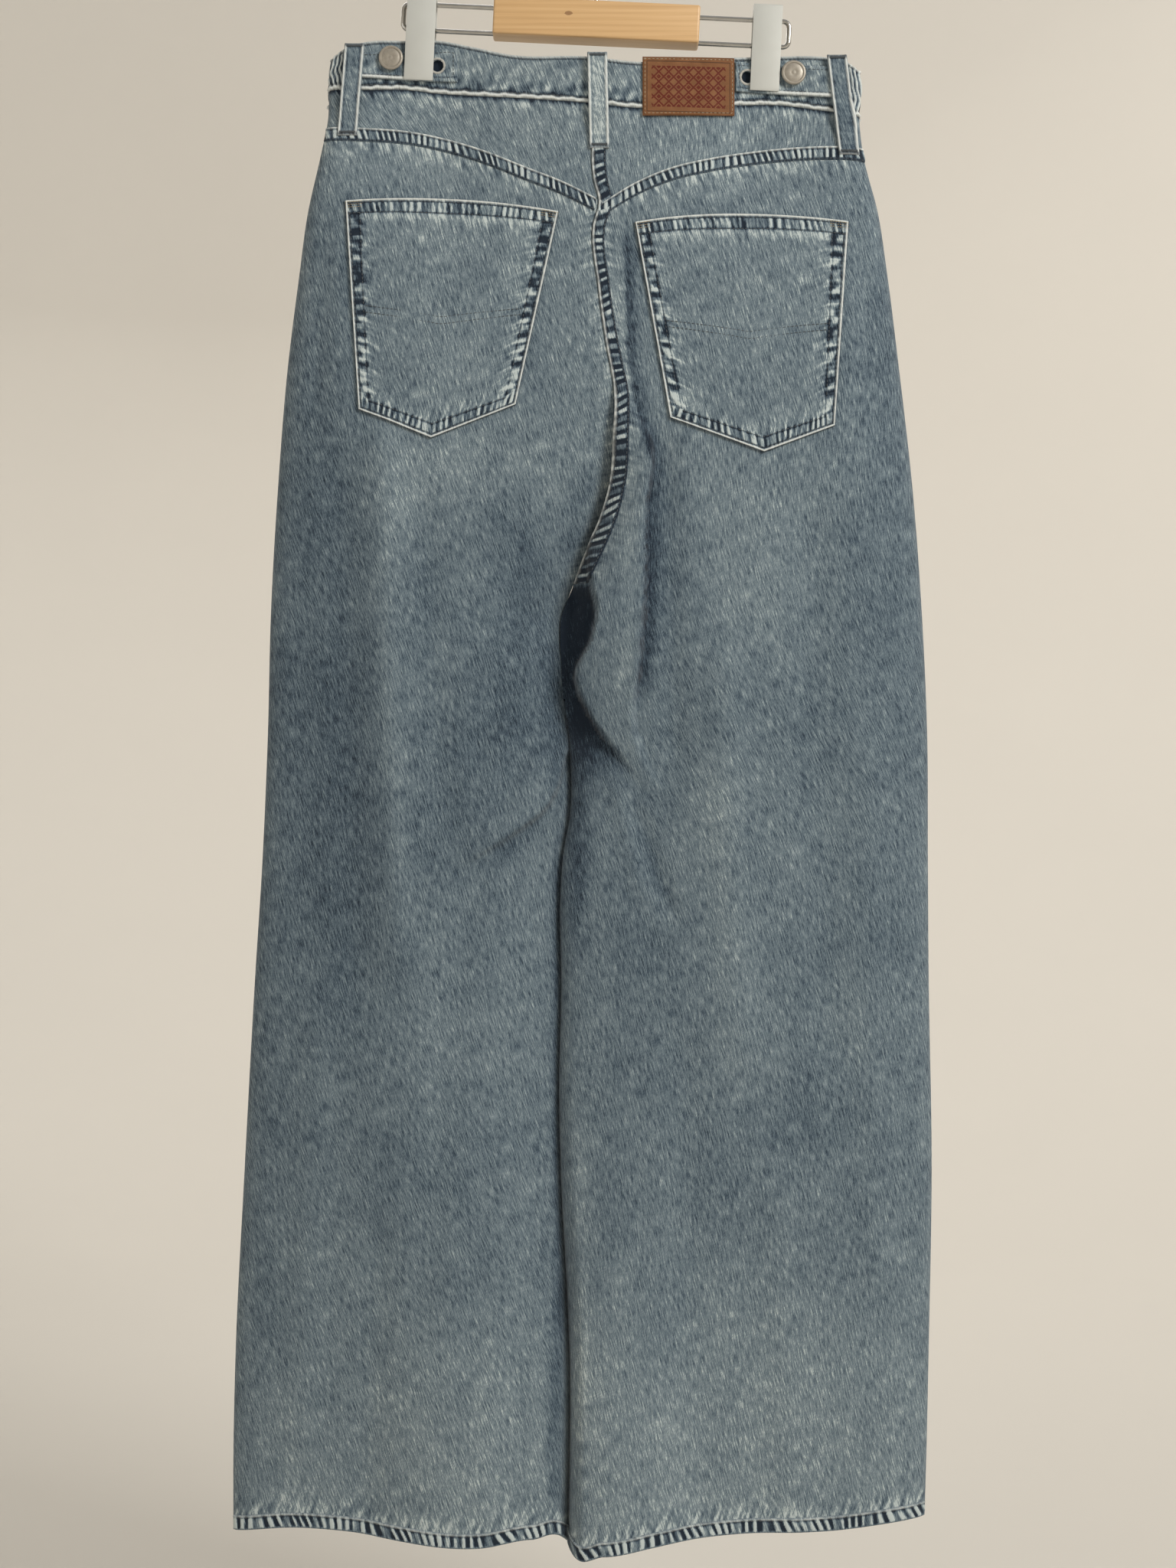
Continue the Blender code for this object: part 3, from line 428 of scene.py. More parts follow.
LAP = Table.of(  # the flap of spare cloth at the right leg's inner thigh
    "drop start crest rise",
    (0.35, 0.012, 0.019, 0.0), (0.367, 0.012, 0.0228, 0.003), (0.391, 0.012, 0.036, 0.006),
    (0.411, 0.01, 0.037, 0.007), (0.427, 0.006, 0.0335, 0.0075), (0.455, -0.003, 0.0322, 0.0085),
    (0.493, -0.004, 0.0318, 0.0095), (0.507, -0.001, 0.0312, 0.01), (0.528, -0.004, 0.0293, 0.01),
    (0.553, -0.015, 0.0275, 0.009), (0.579, -0.007, 0.024, 0.007), (0.601, 0.0075, 0.027, 0.0045),
    (0.614, 0.0185, 0.032, 0.002), (0.64, 0.04, 0.05, 0.0),
)
DRAG = Table.of(
    "across drop rise",
    (-0.1, 0.688, 0.0), (-0.068, 0.669, 0.0035), (-0.05, 0.657, 0.005), (-0.0315, 0.639, 0.006),
    (-0.0257, 0.627, 0.0055), (-0.021, 0.606, 0.004),
)
WASH_AND_SHADING_PATCHES = {  # how much lighter or darker the cloth is, in soft patches: the wash, with painted light and shade over the folds
    Layer.BACK: Table.of(
        "across drop tone half_across half_drop",
        (0.0, 0.17, 0.1, 0.24, 0.05), (0.0, 0.3, 0.05, 0.05, 0.11), (-0.1, 0.412, 0.12, 0.08, 0.035),
        (-0.19, 0.52, -0.15, 0.04, 0.22), (-0.12, 0.62, -0.07, 0.09, 0.18),
        (-0.143, 0.57, 0.05, 0.013, 0.2), (-0.05, 0.5, -0.09, 0.034, 0.09),
        (-0.06, 0.6, -0.08, 0.026, 0.06), (0.052, 0.52, -0.05, 0.018, 0.13),
        (0.1, 0.46, 0.05, 0.035, 0.08), (0.088, 0.68, 0.04, 0.018, 0.16),
        (0.205, 0.58, -0.08, 0.03, 0.18), (0.215, 0.33, -0.08, 0.02, 0.12),
        (-0.2, 0.3, 0.04, 0.022, 0.06), (0.149, 0.617, -0.07, 0.018, 0.08),
        (0.034, 0.173, -0.1, 0.024, 0.012), (0.117, 0.432, 0.05, 0.03, 0.025),
        (-0.165, 0.72, -0.08, 0.045, 0.11), (-0.118, 0.8, 0.05, 0.028, 0.11),
        (0.028, 0.76, -0.06, 0.035, 0.09), (0.15, 0.86, -0.06, 0.05, 0.05),
        (-0.13, 0.93, -0.04, 0.07, 0.07), (0.07, 0.92, -0.04, 0.05, 0.07), (-0.13, 1.09, 0.1, 0.16, 0.09),
        (0.11, 1.095, 0.13, 0.16, 0.1), (0.125, 1.01, 0.04, 0.05, 0.06), (-0.235, 0.9, -0.05, 0.02, 0.26),
    ),
    Layer.FRONT: Table.of(
        "across drop tone half_across half_drop",
        (0.0, 0.18, 0.06, 0.24, 0.06), (-0.12, 0.48, 0.14, 0.055, 0.17), (0.115, 0.48, 0.14, 0.055, 0.17),
        (-0.205, 0.52, -0.1, 0.03, 0.26), (0.2, 0.52, -0.1, 0.03, 0.26), (-0.05, 0.56, -0.1, 0.026, 0.12),
        (0.01, 0.56, -0.1, 0.026, 0.12), (-0.13, 0.82, 0.06, 0.05, 0.11), (0.12, 0.82, 0.06, 0.05, 0.11),
        (-0.13, 1.09, 0.1, 0.16, 0.09), (0.11, 1.095, 0.12, 0.16, 0.1),
    ),
}

PAINTED_SHADING_STROKES = {  # narrow streaks along the folds: painted shade in the creases, tucks and gaps, and painted light on the ridges
    Layer.BACK: (
        Stroke(-0.38, 7.0 * MM, ((0.019, 0.235), (0.0215, 0.28), (0.0225, 0.33), (0.029, 0.372),
                                 (0.0395, 0.409)), crisp=-1),
        Stroke(-0.26, 8.0 * MM, ((-0.012, 0.56), (-0.012, 0.62), (-0.015, 0.77)), taper=0.25),
        Stroke(-0.18, 8.0 * MM, ((-0.002, 0.4), (-0.012, 0.432), (-0.022, 0.485)), taper=0.25),
        Stroke(0.13, 6.0 * MM, ((-0.01, 0.84), (-0.01, 0.96), (-0.011, 1.14)), taper=0.3),
        Stroke(-0.36, 8.0 * MM, ((0.03, 0.38), (0.0395, 0.409), (0.0355, 0.43), (0.0345, 0.494),
                                 (0.0305, 0.548), (0.026, 0.58)), crisp=-1),
        Stroke(-0.26, 8.0 * MM, ((-0.0165, 0.545), (-0.007, 0.579), (0.0075, 0.601), (0.0185, 0.614),
                                 (0.026, 0.622)), taper=0.35, crisp=1),
        Stroke(-0.12, 9.0 * MM, ((-0.018, 0.575), (-0.008, 0.603), (0.005, 0.623), (0.02, 0.638))),
        Stroke(-0.16, 7.0 * MM, ((-0.029, 0.52), (-0.027, 0.6), (-0.03, 0.65))),
        Stroke(-0.15, 8.0 * MM, ((-0.024, 0.636), (-0.048, 0.662), (-0.086, 0.694)), taper=0.4),
        Stroke(0.07, 8.0 * MM, ((-0.026, 0.622), (-0.048, 0.646), (-0.075, 0.668))),
        Stroke(-0.22, 3.0 * MM, ((-0.027, 0.66), (-0.028, 0.76), (-0.0285, 0.9), (-0.024, 1.02))),
        Stroke(-0.24, 6.5 * MM, ((-0.024, 0.965), (-0.027, 1.03), (-0.029, 1.1), (-0.027, 1.146))),
        Stroke(-0.15, 4.0 * MM, ((0.0296, 0.655), (0.04, 0.69), (0.0481, 0.71))),
        Stroke(0.07, 9.0 * MM, ((-0.1453, 0.4), (-0.14, 0.6), (-0.132, 0.75))),
        Stroke(-0.04, 11.0 * MM, ((0.048, 0.4), (0.045, 0.5), (0.0428, 0.57))),
        Stroke(0.05, 12.0 * MM, ((0.08, 0.6), (0.09, 0.7), (0.096, 0.78))),
        Stroke(0.1, 5.0 * MM, ((0.024, 0.44), (0.022, 0.52), (0.014, 0.57))),
        Stroke(-0.05, 12.0 * MM, ((-0.065, 0.42), (-0.05, 0.48), (-0.04, 0.56))),
    ),
    Layer.FRONT: (),
}


def coarseness(drop: Array) -> Array:
    """How strongly the slubs show at a drop: most round the seat, least down the legs."""
    return 1.12 - 0.12 * ramp(drop, 0.36, 0.48)


def wash(layer: Layer, across: Array, drop: Array) -> Array:
    """How much lighter or darker a layer's cloth is at each place: the wash, with painted light and shade
    along the folds.
    """
    soft = WASH_AND_SHADING_PATCHES[layer].bumps(across, drop)
    return soft + sum(stroke.at(across, drop) for stroke in PAINTED_SHADING_STROKES[layer])


@dataclass(frozen=True)
class ClothSurface:
    """The shape in which the two layers hang: the plain one that the solids share, and its finer folds."""

    crotch_drop: float = 0.491
    hem_drop: float = 1.150
    bow_fade: tuple[float, float] = (0.150, 0.280)
    swell_edge: tuple[float, float] = (0.030, 0.012)
    valley_reach: dict[Side, float] = field(default_factory=lambda: {Side.LEFT: 0.030, Side.RIGHT: 0.016})
    valley_start: float = 0.335
    leg_split: float = 0.070
    lap_edge: float = 0.0045
    lap_foot: float = 0.0030
    lap_gain: float = 1.35
    drag_edge: float = 0.005
    drag_gain: float = 1.5
    drag_fade: float = 0.060
    hollow: float = 0.010  # how deep the inside of the right thigh falls in beside the flap
    lean: float = 6.0 * MM  # how far the legs' inner edges lean off the middle plane, one before the other
    lean_reach: float = 0.030
    overlap: float = 5.0 * MM  # how far the left leg's inner edge runs on behind the right leg
    overlap_drops: tuple[float, float] = (0.489, 0.535)
    front_dip: tuple[float, float, float] = (0.009, 0.02, 0.10)
    front_band: float = 0.035
    pocket_mouth: tuple[float, float, float] = (0.100, 0.088, 0.23)

    def seam_across(self, layer: Layer, drop: Array) -> Array:
        """Where the centre seam of a layer runs."""
        return (SEAT_SEAM if layer is Layer.BACK else FRONT_SEAM).read("across", drop)

    def outer_edge(self, side: Side, drop: Array) -> Array:
        """Where a side's outer edge runs."""
        return SIDES.read("left" if side is Side.LEFT else "right", drop)

    def inner_edge(self, layer: Layer, side: Side, drop: Array) -> Array:
        """The centre seam above the crotch, and the leg's own inner edge below it."""
        seam = self.seam_across(layer, drop) + side.value * GAP / 2
        leg = BETWEEN_LEGS.read("across", drop) + side.value * BETWEEN_LEGS.read("apart", drop) / 2
        if side is Side.LEFT:
            leg = leg + self.overlap * ramp(drop, *self.overlap_drops)
        return np.where(drop < self.crotch_drop, seam, leg)

    def flap(self, across: Array, drop: Array) -> Array:
        """The flap of spare cloth at the right leg's inner thigh, and the hollow beside it.

        Args:
            across: the places' X.
            drop: their distance below the origin.

        Returns:
            How far each place stands out, or falls in if negative.
        """
        start, crest = LAP.read("start", drop), LAP.read("crest", drop)
        up = ramp(across, start - self.lap_foot / 2, start + self.lap_foot / 2)
        down = ramp(across, crest, crest + self.lap_edge)
        height = self.lap_gain * np.maximum(LAP.read("rise", drop), 0)
        below = ramp(drop, self.crotch_drop, self.crotch_drop + 0.012)
        below = below * (1 - ramp(drop, 0.560, 0.615))
        return height * up * (1 - down) - self.hollow * (1 - up) * below

    def recess(self, across: Array, drop: Array) -> Array:
        """How deep in shade the right thigh's cloth is, inside the flap's free edge."""
        start = LAP.read("start", drop)
        inside = 1 - ramp(across, start - 1.5 * MM, start + 0.5 * MM)
        tail = 0.25 * (1 - ramp(drop, 0.600, 0.640))
        return inside * ramp(drop, 0.488, 0.494) * (tail + 0.75 * (1 - ramp(drop, 0.515, 0.600)))

    def drag(self, across: Array, drop: Array) -> Array:
        """The drag line that runs down and out from the left leg's inner edge."""
        line = DRAG.read("drop", across)
        above = np.exp(-np.maximum(line - drop, 0) / self.drag_fade)
        below = 1 - ramp(drop, line, line + self.drag_edge)
        return self.drag_gain * np.maximum(DRAG.read("rise", across), 0) * above * below

    def depth(self, layer: Layer, side: Side, across: Array, drop: Array) -> Array:
        """How far a layer's outer face stands from the middle plane.

        Args:
            layer: the back or the front.
            side: the side whose folds apply.
            across: the places' X.
            drop: their distance below the origin.

        Returns:
            The depth at each place.
        """
        left, right = SIDES.read("left", drop), SIDES.read("right", drop)
        full = FULLNESS.read("back" if layer is Layer.BACK else "front", drop)
        reach = FULLNESS.read("reach", drop)
        bow = WAIST_BOW.read("depth", across) - FULLNESS.columns["back"][0]
        to_side = np.minimum(across - left, right - across)
        inner = self.inner_edge(layer, side, drop)
        to_inner = np.maximum(side.value * (across - inner), 0)
        sink = ramp(drop, self.valley_start, self.crotch_drop)
        valley = 1 - sink * np.exp(-to_inner / self.valley_reach[side])
        body = (full + bow * (1 - ramp(drop, *self.bow_fade))) * rounded(to_side, reach) * valley
        leg = full * rounded(to_side, reach) * rounded(to_inner, reach)
        split = ramp(drop, self.crotch_drop, self.crotch_drop + self.leg_split)
        plain = body + (leg - body) * split
        own = SWELLS[layer].bumps(across, drop) + CREASES[layer].creases(across, drop)
        if layer is Layer.BACK:
            own = own + (self.flap if side is Side.RIGHT else self.drag)(across, drop)
        share = rounded(to_side, self.swell_edge[0])
        share = share * np.where(drop < self.crotch_drop, 1, rounded(to_inner, self.swell_edge[1]))
        return np.maximum(plain + own * share, GAP / 2)

    def middle(self, side: Side, across: Array, drop: Array) -> Array:
        """The Y of the surface midway between the layers: near the legs' inner edges it leans off y = 0."""
        to_inner = np.maximum(side.value * (across - self.inner_edge(Layer.BACK, side, drop)), 0)
        return -side.value * self.lean * np.exp(-to_inner / self.lean_reach) * ramp(drop, *self.overlap_drops)

    def points(self, layer: Layer, side: Side, across: Array, drop: Array) -> Array:
        """The points of a layer's outer face at places given as across and drop."""
        y = layer.value * self.depth(layer, side, across, drop) + self.middle(side, across, drop)
        return np.stack(np.broadcast_arrays(across, y, -drop), axis=-1)

    def on_layer(self, layer: Layer, flat: Array) -> Array:
        """A layer's points under flat points, read as the side that most of them lie on."""
        side = Side.LEFT if flat[..., 0].mean() < 0 else Side.RIGHT
        return self.points(layer, side, flat[..., 0], flat[..., 1])

    def facing(self, layer: Layer, flat: Array, reach: float = 1.5 * MM) -> Array:
        """Unit normals of a layer, pointing away from the middle plane.

        Args:
            layer: the back or the front.
            flat: the places, as across and drop.
            reach: how far off its neighbours are read.

        Returns:
            A normal for each place.
        """
        side = Side.LEFT if flat[..., 0].mean() < 0 else Side.RIGHT
        x, d = flat[..., 0], flat[..., 1]
        along = self.points(layer, side, x + reach, d) - self.points(layer, side, x - reach, d)
        down = self.points(layer, side, x, d + reach) - self.points(layer, side, x, d - reach)
        normal = np.cross(along, down)
        normal *= np.sign(normal[..., 1:2] * layer.value)
        return normal / np.linalg.norm(normal, axis=-1, keepdims=True)

    def panel(self, layer: Layer, side: Side, top: Edge, bottom: Edge, columns: Array,
              rows: Array) -> Array:
        """A grid of flat points from the inner edge to the outer one.

        Args:
            layer: the back or the front.
            side: the side that the panel is on.
            top: its upper edge, a drop for each across.
            bottom: its lower edge.
            columns: the grid's shares of the width.
            rows: its shares of the height.

        Returns:
            The points' across and drop.
        """
        share, level = np.meshgrid(columns, rows)
        drop = np.full(share.shape, self.crotch_drop / 2)
        across = drop
        for _ in range(8):
            inner, outer = self.inner_edge(layer, side, drop), self.outer_edge(side, drop)
            across = inner + (outer - inner) * share
            drop = top(across) + (bottom(across) - top(across)) * level
        return np.stack([across, drop], axis=-1)

    def yoke_seam(self, across: Array) -> Array:
        """The drop of the seam between the yoke and the panels."""
        return np.where(across < YOKE_POINT, YOKE_LEFT.read("drop", across), YOKE_RIGHT.read("drop", across))

    def hem(self, side: Side) -> Edge:
        """The bottom edge of a leg.

        Args:
            side: the leg.

        Returns:
            The edge, a drop for each across.
        """

        def edge(across: Array) -> Array:
            """The hem's drop, kept to this leg's own side of the gap between the legs."""
            inner = self.inner_edge(Layer.BACK, side, np.full(np.shape(across), self.hem_drop))
            beyond = np.maximum if side is Side.RIGHT else np.minimum
            return HEM.read("drop", beyond(across, inner))

        return edge

    def front_waist_top(self, across: Array) -> Array:
        """The top edge of the front waistband."""
        depth, flat, end = self.front_dip
        return WAIST.read("top", across) + depth * (1 - ramp(np.abs(across), flat, end))

    def front_waist_bottom(self, across: Array) -> Array:
        """The bottom edge of the front waistband."""
        return self.front_waist_top(across) + self.front_band

    def front_top(self, side: Side) -> Edge:
        """The front panel's top: the waistband, then the pocket mouth's curve down to the side seam.

        Args:
            side: the panel's side.

        Returns:
            The edge, a drop for each across.
        """
        width, fall, side_drop = self.pocket_mouth

        def edge(across: Array) -> Array:
            """The edge's drop."""
            side_seam = self.outer_edge(side, np.full(np.shape(across), side_drop))
            to_side = np.clip(side.value * (side_seam - across) / width, 0, 1)
            return self.front_waist_bottom(across) + GAP + fall * np.sqrt(1 - to_side**2)

        return edge


# ---------------------------------------------------------------- finishes
class Wiring:
    """Short ways to add nodes to a material's tree and join them."""

    def __init__(self, name: str) -> None:
        """Starts a material with an empty tree but for its output and its main shader."""
        self.material = bpy.data.materials.new(name)
        self.material.use_nodes = True
        self.tree = self.material.node_tree
        self.shader = self.tree.nodes["Principled BSDF"]

    def node(self, kind: str, inputs: dict[str | int, object] | None = None,
             **settings: object) -> bpy.types.Node:
        """Adds a node.

        Args:
            kind: the node's type without its ShaderNode prefix.
            inputs: what each input gets, a value or another node's output.
            settings: the node's own properties.

        Returns:
            The new node.
        """
        made = self.tree.nodes.new("ShaderNode" + kind)
        for key, value in settings.items():
            setattr(made, key, value)
        for key, value in (inputs or {}).items():
            if isinstance(value, Socket):
                self.tree.links.new(value, made.inputs[key])
            else:
                made.inputs[key].default_value = value
        return made

    def math(self, operation: str, a: object, b: object = 0.0, clamp: bool = False) -> Socket:
        """The result of a calculation with two numbers."""
        return self.node("Math", {0: a, 1: b}, operation=operation, use_clamp=clamp).outputs[0]

    def times(self, a: object, b: object, clamp: bool = False) -> Socket:
        """Two numbers multiplied."""
        return self.math("MULTIPLY", a, b, clamp)

    def add(self, *terms: object) -> Socket:
        """The sum of several numbers."""
        total = terms[0]
        for term in terms[1:]:
            total = self.math("ADD", total, term)
        return total

    def scaled(self, vector: Socket, scale: Sequence[float]) -> Socket:
        """A vector with each of its parts scaled."""
        return self.node("VectorMath", {0: vector, 1: scale}, operation="MULTIPLY").outputs[0]

    def turned(self, vector: Socket, degrees: float) -> Socket:
        """A vector turned round Z."""
        turn = (0.0, 0.0, math.radians(degrees))
        return self.node("Mapping", {"Vector": vector, "Rotation": turn}).outputs[0]

    def uv(self) -> Socket:
        """The piece's own flat coordinates, in metres."""
        return self.node("UVMap", uv_map=UV_NAME).outputs[0]

    def attribute(self, name: str) -> Socket:
        """A number kept at each point of the piece."""
        return self.node("Attribute", attribute_name=name).outputs["Fac"]

    def noise(self, vector: Socket, detail: float = 2.0,
              scale: float = 1.0) -> Socket:
        """A soft random field around 0, from about -0.5 to 0.5."""
        made = self.node("TexNoise", {"Vector": vector, "Scale": scale, "Detail": detail})
        return self.math("SUBTRACT", made.outputs[0], 0.5)

    def colours(self, value: Socket,
                stops: Sequence[tuple[float, Colour]]) -> Socket:
        """Colours read from a number.

        Args:
            value: the number, from 0 to 1.
            stops: the ramp's places and their colours.

        Returns:
            The colour's socket.
        """
        made = self.node("ValToRGB", {"Fac": value})
        elements = made.color_ramp.elements
        while len(elements) < len(stops):
            elements.new(1.0)
        for element, (at, colour) in zip(elements, stops):
            element.position = at
            element.color = (*colour, 1)
        return made.outputs[0]

    def mixed(self, share: object, a: object, b: object, blend: str = "MIX") -> Socket:
        """Two colours mixed.

        Args:
            share: how much of the second colour shows.
            a: the first colour.
            b: the second colour.
            blend: how they are joined.

        Returns:
            The mixed colour's socket.
        """
        made = self.node("Mix", data_type="RGBA", blend_type=blend)
        for index, value in ((0, share), (6, a), (7, b)):
            if isinstance(value, Socket):
                self.tree.links.new(value, made.inputs[index])
            else:
                made.inputs[index].default_value = value if index == 0 else (*value, 1)
        return made.outputs[2]

    def bump(self, height: Socket, distance: float, strength: float = 1.0) -> None:
        """Gives the shader fine relief."""
        made = self.node("Bump", {"Height": height, "Distance": distance, "Strength": strength})
        self.tree.links.new(made.outputs[0], self.shader.inputs["Normal"])

    def base(self, colour: Socket) -> None:
        """Gives the shader its colour."""
        self.tree.links.new(colour, self.shader.inputs["Base Color"])

    def set(self, **values: float) -> None:
        """Sets the shader's own values, named with _ for a space."""
        for name, value in values.items():
            self.shader.inputs[name.replace("_", " ")].default_value = value


@dataclass(frozen=True)
class DenimFinish:
    """Washed denim: leaning slubs over a fine twill, a soft cloudy mottle, worn edges and puckered seams, on
    a tone kept at each point that holds the wash with painted light and shade.
    """

    name: str
    tone: float = 0.50
    slub: float = 1.25
    slub_width: float = 0.85 * MM
    slub_length: float = 8.0 * MM
    slub_turn: float = -17.0
    twill: float = 0.7 * MM
    cloud: float = 0.30
    flare_reach: float = 7.5 * MM

    def make(self) -> bpy.types.Material:
        """Builds the material.

        Returns:
            The material, its nodes joined.
        """
        w = Wiring(self.name)
        uv = w.uv()
        leaning = w.scaled(w.turned(uv, self.slub_turn), (1 / self.slub_width, 1 / self.slub_length, 1))
        slubs = w.noise(leaning, 1.6)
        specks = w.noise(w.scaled(w.turned(uv, 42), (1 / self.twill, 1 / (3 * self.twill), 1)), 1.0)
        clouds = w.noise(w.scaled(uv, (22.0, 13.0, 1.0)), 3.0)
        patches = w.noise(w.scaled(uv, (95.0, 60.0, 1.0)), 2.0)
        away = w.attribute("away")
        near = w.math("EXPONENT", w.times(away, -1 / self.flare_reach))
        slanted = w.math("ADD", w.attribute("along"), w.times(away, -0.35))
        along = w.node("CombineXYZ", {0: w.times(slanted, 1.7 / FLARE_PITCH),
                                      1: w.times(away, 70.0)}).outputs[0]
        flares = w.times(w.math("ADD", w.noise(along, 1.0), 0.06), near)
        # seam puckers, with painted shade behind the buttonholes and along the pockets' edges
        pucker = w.attribute("pucker")
        value = w.add(
            self.tone,
            # the wash, with painted light and shade along folds, recesses and edges
            w.attribute("fade"),
            w.times(w.times(slubs, self.slub), w.attribute("grain")),
            w.times(specks, 0.46),
            w.times(clouds, self.cloud),
            w.times(patches, w.times(w.attribute("grain"), 0.30)),
            w.times(flares, 2.40),
            w.times(pucker, 0.42),
        )
        colour = w.colours(value, (
            (0.00, (0.006, 0.014, 0.027)),
            (0.25, (0.045, 0.071, 0.099)),
            (0.50, (0.117, 0.158, 0.190)),
            (0.75, (0.211, 0.264, 0.289)),
            (1.00, (0.490, 0.550, 0.550)),
        ))
        wear = w.times(w.attribute("wear"), w.math("ADD", w.times(slubs, 1.2), 0.98), True)
        w.base(w.mixed(wear, colour, (0.66, 0.69, 0.67)))
        relief = w.add(slubs, w.times(specks, 0.6))
        w.bump(relief, 0.35 * MM, 0.7)
        w.set(Roughness=0.92, Specular_IOR_Level=0.25, Sheen_Weight=0.12, Sheen_Roughness=0.6)
        return w.material


@dataclass(frozen=True)
class ThreadFinish:
    """Spun sewing thread."""

    name: str
    light: Colour
    dark: Colour

    def make(self) -> bpy.types.Material:
        """Builds the material.

        Returns:
            The material, its nodes joined.
        """
        w = Wiring(self.name)
        place = w.node("TexCoord").outputs["Object"]
        value = w.math("ADD", w.noise(place, 2.0, 900.0), 0.5)
        w.base(w.mixed(value, self.dark, self.light))
        w.bump(value, 0.1 * MM, 0.5)
        w.set(Roughness=0.8, Sheen_Weight=0.1)
        return w.material


@dataclass(frozen=True)
class LeatherFinish:
    """Tan patch leather with a pressed frame line and a generic pattern of small diamonds."""

    name: str
    size: tuple[float, float]
    frame: float = 3.0 * MM
    line: float = 0.35 * MM
    motif: float = 7.0 * MM

    def make(self) -> bpy.types.Material:
        """Builds the material.

        Returns:
            The material, its nodes joined.
        """
        w = Wiring(self.name)
        uv = w.uv()
        parts = w.node("SeparateXYZ", {0: uv})
        x, y = parts.outputs[0], parts.outputs[1]
        half_w, half_h = self.size[0] / 2, self.size[1] / 2
        off_x = w.math("ABSOLUTE", w.math("SUBTRACT", x, half_w))
        off_y = w.math("ABSOLUTE", w.math("ADD", y, half_h))
        inset = w.math("MINIMUM", w.math("SUBTRACT", half_w, off_x), w.math("SUBTRACT", half_h, off_y))
        frame_line = w.math("COMPARE", inset, self.frame)
        frame_line.node.inputs[2].default_value = self.line
        cell_x = w.math("PINGPONG", w.math("SUBTRACT", x, half_w), self.motif / 2)
        cell_y = w.math("PINGPONG", w.math("ADD", y, half_h), self.motif / 2)
        diamond = w.math("ADD", cell_x, cell_y)
        ring = w.math("COMPARE", diamond, self.motif * 0.50)
        ring.node.inputs[2].default_value = 0.80 * MM
        dot = w.math("LESS_THAN", diamond, 1.7 * MM)
        inside = w.math("GREATER_THAN", inset, self.frame + 3.2 * MM)
        rough_ink = w.math("GREATER_THAN", w.noise(w.scaled(uv, (1500.0, 1500.0, 1.0)), 2.0), -0.16)
        pattern = w.times(w.times(w.math("MAXIMUM", ring, dot), inside), rough_ink)
        grain = w.noise(w.scaled(uv, (1600.0, 1600.0, 1.0)), 3.0)
        cloud = w.noise(w.scaled(uv, (110.0, 150.0, 1.0)), 3.0)
        tan = w.colours(w.add(0.5, w.times(cloud, 0.9), w.times(grain, 0.4)), (
            (0.1, (0.130, 0.056, 0.022)),
            (0.5, (0.185, 0.080, 0.032)),
            (0.9, (0.245, 0.115, 0.050)),
        ))
        printed = w.mixed(w.times(pattern, 0.92), tan, (0.105, 0.012, 0.007))
        edge = w.math("LESS_THAN", inset, 1.1 * MM)
        framed = w.mixed(w.times(frame_line, 0.75), printed, (0.060, 0.028, 0.014))
        w.base(w.mixed(w.times(edge, 0.35), framed, (0.110, 0.055, 0.027)))
        w.bump(w.add(grain, w.times(frame_line, -1.5), w.times(pattern, -0.6)), 0.15 * MM, 0.8)
        w.set(Roughness=0.66, Specular_IOR_Level=0.22)
        return w.material


@dataclass(frozen=True)
class MetalFinish:
    """Metal with a faint tarnish and fine scratches."""

    name: str
    light: Colour
    dark: Colour
    metallic: float = 1.0
    roughness: float = 0.35
    grime: float = 160.0

    def make(self) -> bpy.types.Material:
        """Builds the material.

        Returns:
            The material, its nodes joined.
        """
        w = Wiring(self.name)
        place = w.node("TexCoord").outputs["Object"]
        cloud = w.math("ADD", w.noise(place, 4.0, self.grime), 0.5, True)
        w.base(w.mixed(cloud, self.dark, self.light))
        scratches = w.noise(w.scaled(place, (2500.0, 2500.0, 260.0)), 2.0)
        roughness = w.add(self.roughness, w.times(scratches, 0.18), w.times(cloud, -0.10))
        w.tree.links.new(roughness, w.shader.inputs["Roughness"])
        w.bump(scratches, 0.03 * MM, 0.4)
        w.set(Metallic=self.metallic)
        return w.material


@dataclass(frozen=True)
class WoodFinish:
    """Pale lacquered wood, its grain along the bar, with one small knot."""

    name: str
    knot: tuple[float, float] = (-0.0195, -0.0895)

    def make(self) -> bpy.types.Material:
        """Builds the material.

        Returns:
            The material, its nodes joined.
        """
        w = Wiring(self.name)
        place = w.node("TexCoord").outputs["Object"]
        bent = w.scaled(place, (3.0, 60.0, 60.0))
        drift = w.noise(bent, 3.0, 1.0)
        grain = w.noise(w.scaled(place, (14.0, 900.0, 900.0)), 3.0, 1.0)
        rings = w.math("SINE", w.times(w.math("ADD", w.node("SeparateXYZ", {0: place}).outputs[2],
                                                           w.times(drift, 0.010)), 1500.0))
        value = w.add(0.5, w.times(grain, 0.45), w.times(rings, 0.07),
                      w.times(drift, 0.35))
        colour = w.colours(value, (
            (0.15, (0.440, 0.255, 0.105)),
            (0.50, (0.600, 0.380, 0.180)),
            (0.85, (0.700, 0.480, 0.255)),
        ))
        middle = w.node("VectorMath", {0: place, 1: (self.knot[0], 0.0, self.knot[1])}, operation="SUBTRACT")
        flat = w.scaled(middle.outputs[0], (0.55, 0.0, 1.0))
        away = w.node("VectorMath", {0: flat}, operation="LENGTH").outputs["Value"]
        knot = w.math("LESS_THAN", w.math("ADD", away, w.times(grain, 1.2 * MM)), 1.5 * MM)
        w.base(w.mixed(w.times(knot, 0.75), colour, (0.210, 0.100, 0.040)))
        w.bump(grain, 0.1 * MM, 0.4)
        w.set(Roughness=0.42, Coat_Weight=0.15, Coat_Roughness=0.25)
        return w.material


